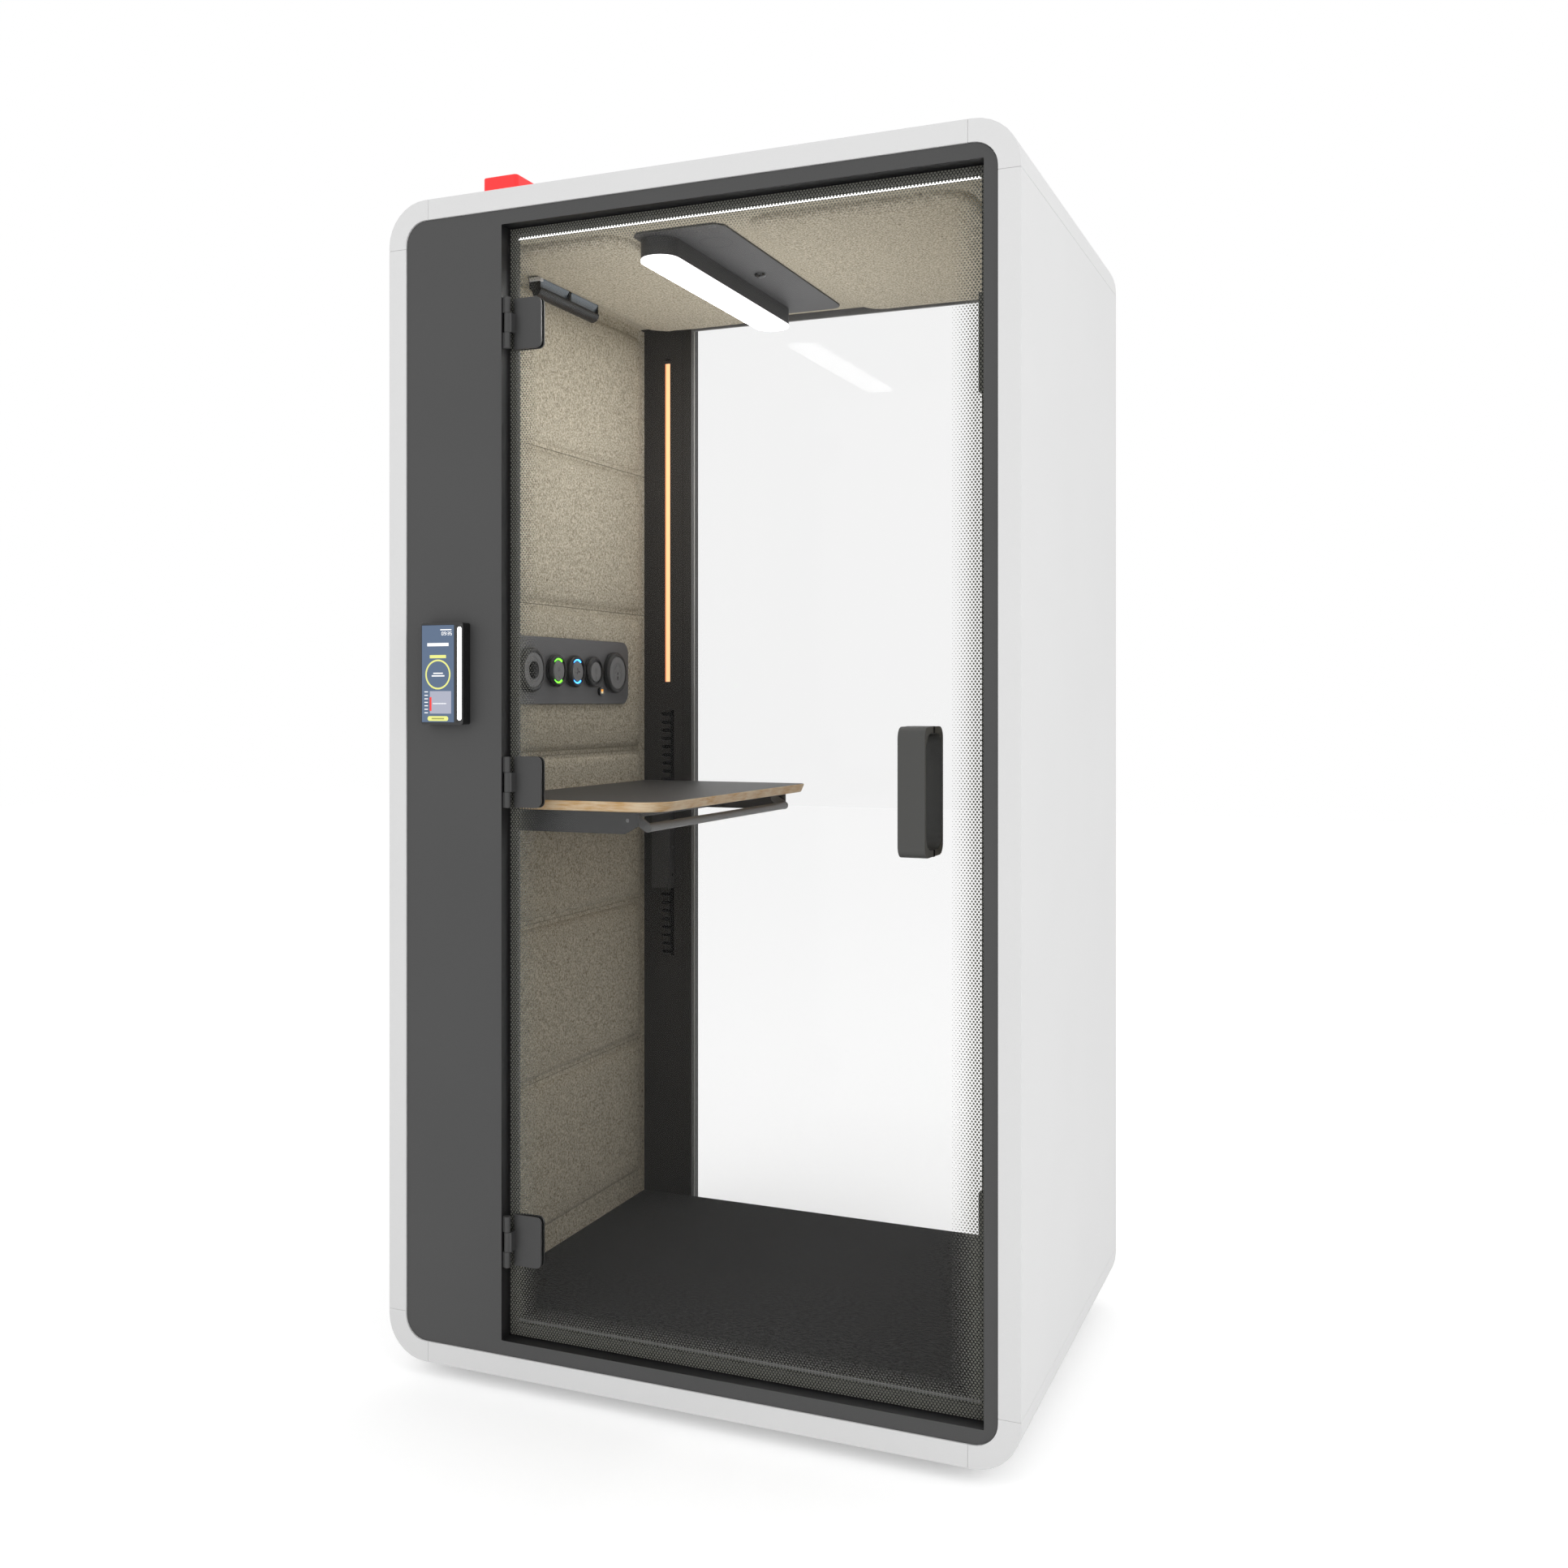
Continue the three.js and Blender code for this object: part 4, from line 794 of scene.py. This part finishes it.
# %% Pads on the walls
pad_middle_y = (left_board.bound_box[0][1] + left_board.bound_box[6][1]) / 2
edges = [pad_bottom]
for height in seam_heights:
    edges += [height - seam_band / 2, height + seam_band / 2]
edges.append(pad_top)
pad_spans = list(zip(edges[0::2], edges[1::2]))
facing_right = Matrix(((0, 0, 1, 0), (1, 0, 0, 0), (0, 1, 0, 0), (0, 0, 0, 1)))
facing_left = Matrix(((0, 0, -1, 0), (-1, 0, 0, 0), (0, 1, 0, 0), (0, 0, 0, 1)))
for side, face_x, turn in [("left", left_face_x, facing_right), ("right", right_face_x, facing_left)]:
    for number, (bottom, top) in enumerate(pad_spans, 1):
        pad = bpy.data.objects.new("pad", first_pad.data.copy())
        scene.collection.objects.link(pad)
        stretch = Matrix.Diagonal((1, (top - bottom) / pad_width, 1, 1))
        shift = Matrix.Translation((face_x, pad_middle_y, (bottom + top) / 2 * MM))
        pad.data.transform(shift @ turn @ stretch)
        settle(pad, f"{side}_wall_pad_{number}", wall_cloth)
bpy.data.objects.remove(first_pad)
print("wall pads:", 2 * len(pad_spans))

# %% [markdown]
# The ceiling has two pads of the same making, with larger corners and steeper sides. They hang face down, so
# the form is turned over about the long axis.

# %% Ceiling pads
facing_down = Matrix(((1, 0, 0, 0), (0, -1, 0, 0), (0, 0, -1, 0), (0, 0, 0, 1)))
for side in ("left", "right"):
    node = f"ceiling_pad_{side}"
    low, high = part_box(node)
    length, width = (high.x - low.x) / MM, (high.y - low.y) / MM
    pad = cushion_form(length - 2, width - 2, 56, 16, 15)
    fill_cushion(pad, 7)
    middle = Matrix.Translation(((low.x + high.x) / 2, (low.y + high.y) / 2, high.z))
    pad.data.transform(middle @ facing_down)
    settle(pad, node + "_cushion", wall_cloth, "cabin", [node])
print("ceiling pads: 2")

# %% [markdown]
# ## Controls
# A row of round modules sits on the control plate: a lens, three knobs and a charging point. Each has a
# black rim like a small tyre, with a groove round its side, and a grey face set into it. Such turned parts
# are quickest from a disc that is extruded and resized ring by ring, which is what turned() does. The
# first two knobs have lit arcs in the gap between rim and face, and each face carries a small printed sign.
# Below the row is a small port with two lit windows; the pale one is a painted highlight on the amber one.

# %% Rims and faces
plate_face_x = -488.7
controls_y = 35
controls_z = 1385.5
module_offset = 183
knob_offset = 81.5
outwards = (1, 0, 0)


def tyre(radius, opening, reach):
    """The rings of a rim: outer radius, radius of the opening in it, and how far it stands out."""
    return [
        (radius - 3, 0),
        (radius - 0.6, 1.2),
        (radius, 3),
        (radius, reach * 0.32),
        (radius - 1.5, reach * 0.38),
        (radius - 1.5, reach * 0.45),
        (radius, reach * 0.51),
        (radius, reach * 0.72),
        (radius - 1.2, reach * 0.86),
        (radius - 3.5, reach * 0.96),
        (radius - 5.5, reach),
        (opening + 1.2, reach),
        (opening, reach - 1),
        (opening - 0.3, reach - 4.5),
    ]


def module_place(offset, rise=0.0, out=0.0):
    """A point on the plate: offset along the row, rise above its middle, out from its face; millimetres."""
    return mm(plate_face_x + out, controls_y + offset, controls_z + rise)


def module(name, offset, radius, opening, face, body):
    """One round module: its rim and its face."""
    place = module_place(offset)
    rim = turned(tyre(radius, opening, 15), place, outwards)
    settle(rim, name + "_rim", rim_black, body, [name])
    settle(turned(face, place, outwards), name + "_face", grey_face, body)


face_ring = [(37, 10), (37, 13.4), (36.6, 13.8)]
lens_groove = [(26.2, 13.8), (25.8, 12.9), (24.6, 12.9), (24.2, 13.8), (20, 13.8), (19, 12.5), (18, 12.5)]
charge_groove = [(23.8, 13.8), (23.4, 12.9), (22.4, 12.9), (22, 13.8)]
lens_glass = [(18.2, 12), (18.2, 13.6), (17.4, 15), (14.5, 16.4), (10, 17.3), (5, 17.7), (1, 17.8)]
module("lens_module", -module_offset, 47, 37.6, face_ring + lens_groove, "cabin")
module("charging_module", module_offset, 47, 37.6, face_ring + charge_groove, "cabin")
settle(turned(lens_glass, module_place(-module_offset), outwards), "lens_dome", lens_black)
knobs = {"light_knob": -knob_offset, "fan_knob": 0, "mood_knob": knob_offset}
knob_face = [(22, 9), (22.3, 13), (21.8, 13.8), (21, 14)]
for name, offset in knobs.items():
    module(name, offset, 35, 27.5, knob_face, name)
print("modules:", 2 + len(knobs))


# %% Rings, arcs and strokes
def ring(inner, outer, thick, centre, facing):
    """A flat ring: a circle of edges is extruded, resized and given thickness."""
    bpy.ops.object.select_all(action="DESELECT")
    bpy.ops.mesh.primitive_circle_add(vertices=64, radius=inner * MM, fill_type="NOTHING")
    piece = bpy.context.object
    bpy.context.tool_settings.mesh_select_mode = (True, False, False)
    edit_mode()
    bpy.ops.mesh.select_all(action="SELECT")
    bpy.ops.mesh.extrude_region_move()
    share = outer / inner
    bpy.ops.transform.resize(value=(share, share, 1), center_override=(0, 0, 0))
    bpy.ops.mesh.select_all(action="SELECT")
    bpy.ops.mesh.normals_make_consistent(inside=False)
    object_mode()
    modify(piece, "SOLIDIFY", thickness=thick * MM, offset=0)
    return put(piece, centre, facing)


def lit_arc(place, middle, sweep):
    """A lit arc in a knob's gap: a ring cut by two planes through the knob's axis; degrees, 90 is up."""
    piece = ring(24.2, 27.0, 1.6, place + mm(11.6, 0, 0), outwards)
    edit_mode()
    for angle, side in [(middle - sweep / 2, 1), (middle + sweep / 2, -1)]:
        turn = math.radians(angle)
        cut = Vector((0, -math.sin(turn), math.cos(turn))) * side
        bpy.ops.mesh.select_all(action="SELECT")
        bpy.ops.mesh.bisect(plane_co=place, plane_no=cut, use_fill=True, clear_inner=True)
    object_mode()
    return piece


def stroke(place, turn, inner, outer, width):
    """A printed stroke: from inner to outer millimetres away from a place on a face, turned by degrees."""
    piece = block(mm(-0.05, -width / 2, inner), mm(0.1, width / 2, outer))
    piece.rotation_euler = (math.radians(turn), 0, 0)
    piece.location = place
    apply_place()
    return piece


print("ring, arc and stroke ready")

# %% Lit arcs
for name, finish in [("light_knob", arc_green), ("fan_knob", arc_blue)]:
    place = module_place(knobs[name])
    settle(join([lit_arc(place, 90, 74), lit_arc(place, 270, 74)]), name + "_arcs", finish, name)
print("arcs: 2 on each of 2 knobs")


# %% Printed signs
def sun_sign(place):
    """A ring with eight rays."""
    return [ring(2.4, 3.3, 0.2, place, outwards)] + [stroke(place, 45 * i, 4.4, 7.4, 0.9) for i in range(8)]


def fan_sign(place):
    """A hub with three blades and an arrow beside it."""
    blades = [stroke(place, 120 * i + 20, 1.8, 7.6, 3.4) for i in range(3)]
    arrow = [stroke(place + mm(0, -11, -4), turn, -0.4, 3.6, 0.9) for turn in (-40, 40)]
    return [ring(1.0, 1.7, 0.2, place, outwards)] + blades + arrow


light_mark = [stroke(module_place(-knob_offset, -14, 14), 20, -2, 2, 2.4)]
mood_mark = [ring(2.2, 3.0, 0.2, module_place(knob_offset, -13, 14), outwards)]
signs = {
    "light_knob": sun_sign(module_place(-knob_offset, 2, 14)) + light_mark,
    "fan_knob": fan_sign(module_place(0, 0, 14)),
    "mood_knob": sun_sign(module_place(knob_offset, 2, 14)) + mood_mark,
}
for name, strokes in signs.items():
    settle(join(strokes), name + "_sign", print_grey, name)
charge_place = module_place(module_offset, 0, 13.8)
charge_sign = [
    ring(17.0, 17.6, 0.2, charge_place, outwards),
    ring(10.0, 10.6, 0.2, charge_place + mm(0, 0, 11), outwards),
    stroke(charge_place + mm(0, 0, -2.5), 0, -2.5, 2.5, 5.5),
    stroke(charge_place + mm(0, 0, -12), 0, -3.6, 3.6, 6.5),
    stroke(charge_place + mm(0, -12, 0), 0, -1.2, 1.2, 2.4),
    stroke(charge_place + mm(0, 12, 0), 0, -1.2, 1.2, 2.4),
]
settle(join(charge_sign), "charging_sign", print_grey)
print("signs:", len(signs) + 1)

# %% Small port
port_place = module_place(122, -43.5)
collar = turned([(10.2, 0), (10.2, 6.2), (9.4, 7), (8, 7), (7.4, 6.3)], port_place, outwards, 48)
settle(collar, "port_collar", gloss_black)
pane_out = port_place + mm(6.3, 0, 0)
slab("port_amber", pane_out + mm(0, -4.6, 0), pane_out + mm(0.6, 4.6, 4.8), amber)
slab("port_highlight", pane_out + mm(0, -4.6, -4.8), pane_out + mm(0.6, 4.6, 0), window_highlight)
print("port ready")

# %% [markdown]
# ## Door pulls
# Each pull is a flat bar bent to a D, thick at its corners where the inside curve is wide. It is a block
# whose two far edges are rounded; a smaller block with wider roundings is taken out of it by a Boolean
# modifier. A thin black gasket lies between each pull and the glass; its black also paints the shade of the
# gap there.


# %% Door pulls
def rounded_block(low, high, side, radius):
    """A block whose edges along X are rounded by radius millimetres on one side of the axis Y."""
    piece = block(low, high)
    limit = high.y if side > 0 else low.y

    def is_far(a, b):
        return abs(a.x - b.x) > 1 * MM and max(abs(a.y - limit), abs(b.y - limit)) < 0.1 * MM

    choose_edges(piece, is_far)
    bpy.ops.mesh.bevel(offset=radius * MM, segments=10)
    object_mode()
    return piece


bar_thick = 7 * MM
leg_thick = 12 * MM
overrun = 5 * MM
gasket_out = 0.3 * MM
gasket_half = 0.6 * MM
for name, side in [("handle_outer", -1), ("handle_inner", 1)]:
    low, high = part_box(name)
    pull = rounded_block(low, high, side, 20)
    near, far = (bar_thick, overrun) if side < 0 else (-overrun, -bar_thick)
    inner_low = low + Vector((-overrun, near, leg_thick))
    inner_high = high + Vector((overrun, far, -leg_thick))
    hollow = rounded_block(inner_low, inner_high, side, 30)
    modify(pull, "BOOLEAN", operation="DIFFERENCE", object=hollow)
    bpy.data.objects.remove(hollow)
    round_edges(pull, 1.2, 2, 40)
    settle(pull, name + "_pull", pull_coat, "door", [name])
    glass_y = high.y if side < 0 else low.y
    # The gasket is black rubber, and its black also paints the shade in the gap at the glass.
    gaskets = [
        block(
            (low.x - gasket_out, glass_y - gasket_half, z),
            (high.x + gasket_out, glass_y + gasket_half, z + leg_thick),
        )
        for z in (low.z - gasket_out, high.z - leg_thick + gasket_out)
    ]
    settle(join(gaskets), name + "_gasket", gap_shade_black, "door")
print("pulls: 2")

# %% [markdown]
# ## Small things inside
# The air outlet is a black scoop with a rounded lip, two tilted grey blades in its openings and a pale cap
# at its front end. It is joined from blocks, because each of its walls is one.

# %% Air outlet
vent_low, vent_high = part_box("air_vent")
lip_top = vent_low.z + 18 * MM
scoop = block(vent_low, (vent_high.x, vent_high.y, lip_top))
lip_side = vent_high.x - 1 * MM
lip_foot = vent_low.z + 1 * MM
choose_edges(scoop, lambda a, b: abs(a.y - b.y) > 1 * MM and a.x > lip_side and a.z < lip_foot)
bpy.ops.mesh.bevel(offset=16 * MM, segments=6)
object_mode()
cheek = 3 * MM
rib = 10 * MM
middle_y = (vent_low.y + vent_high.y) / 2
spans = [
    (vent_low.y, vent_low.y + cheek),
    (middle_y - rib / 2, middle_y + rib / 2),
    (vent_high.y - cheek, vent_high.y),
]
wall_foot = lip_top - 1 * MM
cheek_x = vent_high.x - 2 * MM
cheeks = [block((vent_low.x, near, wall_foot), (cheek_x, far, vent_high.z)) for near, far in spans]
back_plate = block((vent_low.x, vent_low.y, wall_foot), (vent_low.x + 8 * MM, vent_high.y, vent_high.z))
outlet = join([scoop, back_plate] + cheeks)
round_edges(outlet, 0.8)
settle(outlet, "air_outlet", vent_black, "cabin", ["air_vent"])
blades = []
blade_foot = lip_top - 4 * MM
blade_tilt = math.radians(-28)
for near, far in [(spans[0][1], spans[1][0]), (spans[1][1], spans[2][0])]:
    blade_end = (vent_low.x + 15.5 * MM, far - 1 * MM, vent_high.z - 1 * MM)
    blades.append(block((vent_low.x + 14 * MM, near + 1 * MM, blade_foot), blade_end))
    edit_mode()
    bpy.ops.mesh.select_all(action="SELECT")
    foot = (vent_low.x + 15 * MM, near, blade_foot)
    bpy.ops.transform.rotate(value=blade_tilt, orient_axis="Y", center_override=foot)
    object_mode()
settle(join(blades), "air_blades", smoke_panel)
cap_low = (vent_low.x + 2 * MM, vent_low.y - 3 * MM, vent_high.z - 11 * MM)
cap_high = (vent_high.x + 1 * MM, vent_low.y + 9 * MM, vent_high.z - 2 * MM)
slab("air_outlet_cap", cap_low, cap_high, silicone, 0.8)
print("air outlet with", len(blades), "blades")

# %% [markdown]
# Thin strips finish the cabin: a black liner behind the front column, an edging along the carpet, a joint and
# a trim on the back column, and two beads round the back glass. The joint and the slot above the warm strip
# are near-black strips that paint the shade in those gaps. Each is a block in its place, because only its
# long edges show. The console has two engraved rings, drawn as thin rings on its underside.

# %% Liner and threshold
ceiling_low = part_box("ceiling_board")[0].z
carpet_low, carpet_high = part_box("carpet")
liner_low = (seal_low.x - 8 * MM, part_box("front_frame")[1].y - 0.5 * MM, carpet_high.z)
liner_high = (seal_low.x, desk_low.y - 2 * MM, ceiling_low)
slab("column_liner", liner_low, liner_high, satin_black, 1.0)
edging_low = (carpet_low.x, carpet_low.y - 0.5 * MM, carpet_high.z - 3 * MM)
edging_high = (carpet_high.x, carpet_low.y + 3 * MM, carpet_high.z + 1 * MM)
slab("carpet_edging", edging_low, edging_high, grey_face, 0.5)
print("liner and threshold ready")

# %% Console and column
console_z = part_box("lamp_console")[0].z
engraved = [
    ring(32.0, 32.8, 0.3, (-31 * MM, -195 * MM, console_z), (0, 0, -1)),
    ring(9.6, 10.3, 0.3, (-40 * MM, 268 * MM, console_z), (0, 0, -1)),
]
settle(join(engraved), "console_rings", print_grey)
column_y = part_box("back_frame")[0].y
glass_low, glass_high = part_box("back_glass")


def upright(left, right, face_y, out, sunk):
    """A strip from carpet to ceiling: its sides, and how far it stands out of a face and lies in it."""
    return block((left * MM, face_y - out * MM, carpet_high.z), (right * MM, face_y + sunk * MM, ceiling_low))


# The joint and the slot above the warm strip are near-black strips: painted shade in the gaps.
joint = upright(-404.3, -403.6, column_y, 0.15, 1)
mark_low = (strip_low.x + 1 * MM, column_y - 0.3 * MM, strip_high.z + 8 * MM)
slot_shade = block(mark_low, (strip_high.x + 2 * MM, column_y + 1 * MM, strip_high.z + 11 * MM))
settle(join([joint, slot_shade]), "column_joint_shade", gap_shade_black)
trim = upright(-381, -377, column_y, 1.2, 1)
round_edges(trim, 0.4)
settle(trim, "column_trim", grey_face)
settle(upright(-374.5, -371.5, glass_low.y, 0.4, 0.5), "glass_bead", bead_grey)
bead_foot = 2214.5 * MM
bead_low = (glass_low.x, glass_low.y - 8 * MM, bead_foot)
bead_high = (glass_high.x, glass_low.y - 0.2 * MM, glass_high.z - 2 * MM)
slab("glass_top_bead", bead_low, bead_high, grey_face, 0.5)
print("console and column ready")

# %% [markdown]
# A black plate behind the rack's comb paints the shade in its slots. The desk's carriage has a screw and a
# hole in its side, and the release bar a rounded cap at its front end; all three are small turned pieces.

# %% Rack and release bar
rack_low = mm(-464, 423, 698)
rack_high = mm(-428, 424.2, 1298)
# This black plate is painted shade: the dark inside the comb's slots.
slab("rack_slot_shade", rack_low, rack_high, gap_shade_black)
side_x, side_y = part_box("desk_carriage_back")[1].xy
side_y -= 9 * MM
screw_z = 965 * MM
hole_z = 898 * MM
screw_rings = [(4.6, -0.5), (4.6, 1.2), (3.8, 1.9), (2.3, 1.9), (2.1, 0.9)]
screw = turned(screw_rings, (side_x, side_y, screw_z), outwards, 32)
settle(screw, "carriage_screw", screw_steel, "desk")
# The hole is a black disc: painted shade of a hole in the carriage's side.
hole = turned([(3.2, -0.5), (3.2, 0.15)], (side_x, side_y, hole_z), outwards, 32)
settle(hole, "carriage_hole_shade", gap_shade_black, "desk")
cap_rings = [(8.4, -0.5), (8.4, 0.6), (7.6, 1.4), (6.2, 1.4)]
bar_end = mm(-122, -312, 1076)
cap = turned(cap_rings, bar_end, (0, -1, 0), 32)
settle(cap, "release_bar_cap", bar_coat, "release_bar")
print("rack, screw, hole and cap ready")

# %% [markdown]
# ## Tablet
# The booking tablet shows a plain lit page: a clock, bars where lines of writing would be, a ring, a list
# with a red mark and a button. Each is a thin slab on the screen, because lit shapes with crisp edges stay
# crisp from any distance. The light bar at its right side is a capsule with a narrow black rim round it.

# %% Tablet page
page_low, page_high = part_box("tablet_screen")
page_width = page_high.x - page_low.x
page_height = page_high.z - page_low.z


def page_bar(left, top, right, bottom):
    """A slab on the page; shares of the page's width from the left and of its height from the top."""
    x0, x1 = page_low.x + left * page_width, page_low.x + right * page_width
    z0, z1 = page_high.z - bottom * page_height, page_high.z - top * page_height
    return block((x0, page_low.y - 0.15 * MM, z0), (x1, page_low.y + 0.2 * MM, z1))


def round_corners(piece, radius, steps):
    """Rounds a flat piece's corners, as seen from the front, by radius metres in so many steps."""
    choose_edges(piece, lambda a, b: abs(a.y - b.y) > 0.1 * MM)
    bpy.ops.mesh.bevel(offset=radius, segments=steps)
    object_mode()


segments = {
    "a": (0.1, 0.0, 0.9, 0.14),
    "b": (0.76, 0.05, 1.0, 0.5),
    "c": (0.76, 0.5, 1.0, 0.95),
    "d": (0.1, 0.86, 0.9, 1.0),
    "e": (0.0, 0.5, 0.24, 0.95),
    "f": (0.0, 0.05, 0.24, 0.5),
    "g": (0.1, 0.43, 0.9, 0.57),
}
digits = {"0": "abcdef", "9": "abcdfg", "3": "abcdg", "5": "acdfg"}
digit_width = 0.062
digit_height = 0.036
clock_top = 0.068
white_bars = []
for number, start in [("0", 0.62), ("9", 0.70), ("3", 0.80), ("5", 0.88)]:
    for part in digits[number]:
        left, right = (start + segments[part][i] * digit_width for i in (0, 2))
        top, bottom = (clock_top + segments[part][i] * digit_height for i in (1, 3))
        white_bars.append(page_bar(left, top, right, bottom))
white_bars += [page_bar(0.775, 0.077, 0.787, 0.083), page_bar(0.775, 0.09, 0.787, 0.096)]
white_bars += [page_bar(0.58, 0.042, 0.93, 0.053), page_bar(0.17, 0.183, 0.84, 0.216)]
white_bars += [page_bar(0.36, 0.49, 0.66, 0.502), page_bar(0.31, 0.516, 0.71, 0.529)]
white_bars += [page_bar(0.08, 0.683 + 0.036 * i, 0.19, 0.692 + 0.036 * i) for i in range(7)]
white_bars.append(page_bar(0.34, 0.803, 0.77, 0.814))
settle(join(white_bars), "page_white", ui_white)
print("page: white bars ready")

# %% Ring, list and button
ring_place = (page_low.x + 0.505 * page_width, page_low.y, page_high.z - 0.508 * page_height)
ring_outer = 0.395 * page_width / MM
page_ring = ring(ring_outer - 3.2, ring_outer, 0.4, ring_place, (0, -1, 0))
settle(join([page_ring, page_bar(0.25, 0.307, 0.76, 0.34)]), "page_yellow", ui_yellow)
settle(page_bar(0.25, 0.68, 0.92, 0.912), "page_panel", ui_grey)
mark = page_bar(0.245, 0.742, 0.305, 0.885)
mark.location.y -= 0.2 * MM
settle(mark, "page_mark", ui_red)
button = page_bar(0.18, 0.938, 0.83, 0.988)
round_corners(button, 0.024 * page_height, 6)
settle(button, "page_button", ui_yellow)
word = page_bar(0.31, 0.957, 0.7, 0.971)
word.location.y -= 0.1 * MM
settle(word, "page_button_bar", ui_olive)
bar_low, bar_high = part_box("tablet_light_bar")
edge = mm(1.0, 0, 3.5)
light_bar = block(bar_low + edge, bar_high - edge)
round_corners(light_bar, (bar_high.x - bar_low.x) / 2 - 1.1 * MM, 8)
round_edges(light_bar, 0.5, 2, 40)
settle(light_bar, "tablet_glow_bar", bar_opal, "cabin", ["tablet_light_bar"])
print("page ready")

# %% [markdown]
# ## Floor, light and background
# The pod stands on a pale studio floor in soft even light. The world gives most of it, and three large lamps
# round the front give the surfaces some direction. Floor and world show as white to the camera, to glass and
# to reflections, while the floor keeps the pod's shadow. A weak lamp inside, which no one sees, points up and
# stands for the light that a pale room throws to the ceiling; its spread is narrow, to spare the walls.


# %% Floor and background
def seen_share(tree):
    """1 for rays that show the background: from the camera, through glass, or in a reflection."""
    rays = add_node(tree, "LightPath").node.outputs
    straight = add_node(tree, "Math", {0: rays["Diffuse Depth"], 1: 0.5}, operation="LESS_THAN")
    shown = rays["Is Camera Ray"]
    for kind in ("Is Glossy Ray", "Is Transmission Ray"):
        shown = add_node(tree, "Math", {0: shown, 1: rays[kind]}, operation="MAXIMUM")
    return add_node(tree, "Math", {0: shown, 1: straight}, operation="MULTIPLY")


bpy.ops.object.select_all(action="DESELECT")
bpy.ops.mesh.primitive_plane_add(size=30, location=(0, 0, 0))
floor = bpy.context.object
floor.name = "studio_floor"
more = {"Specular_IOR_Level": 0.0, "Emission_Color": linear("#ffffff")}
floor_paint, tree, shader = new_material("studio_floor", "#f4f4f4", 0.9, **more)
lift = {0: seen_share(tree), 1: 0.3}
add_node(tree, "Math", lift, to=shader.inputs["Emission Strength"], operation="MULTIPLY")
paint(floor, floor_paint)

sky_level = 0.8
scene.world = bpy.data.worlds.new("studio")
scene.world.use_nodes = True
tree = scene.world.node_tree
backdrop = tree.nodes["Background"]
backdrop.inputs["Color"].default_value = linear("#ffffff")
strength = {"Value": seen_share(tree), "To Min": sky_level, "To Max": 1.0}
add_node(tree, "MapRange", strength, to=backdrop.inputs["Strength"])
print("floor and background ready")

# %% Soft lamps
for name, place, aim, size, energy, opening in [
    ("right_lamp", (4.4, -1.4, 3.2), (0, 0, 1.2), (3.0, 2.2), 33, 180),
    ("front_lamp", (-1.6, -4.2, 3.6), (0, 0, 1.2), (3.0, 2.2), 24, 180),
    ("door_lamp", (3.2, -3.8, 1.5), (-0.3, 0, 1.2), (2.0, 1.2), 20, 180),
    ("ceiling_lift", (0.0, 0, 1.25), (-0.03, 0, 2.2), (0.8, 0.6), 2.9, 115),
]:
    bpy.ops.object.light_add(type="AREA", location=place)
    lamp = bpy.context.object
    lamp.name = name
    lamp.data.shape = "RECTANGLE"
    lamp.data.size, lamp.data.size_y = size
    lamp.data.energy = energy
    lamp.data.spread = math.radians(opening)
    lamp.visible_camera = False
    lamp.visible_glossy = False
    lamp.visible_transmission = False
    lamp.rotation_euler = (Vector(aim) - Vector(place)).to_track_quat("-Z", "Y").to_euler()
print("studio ready")
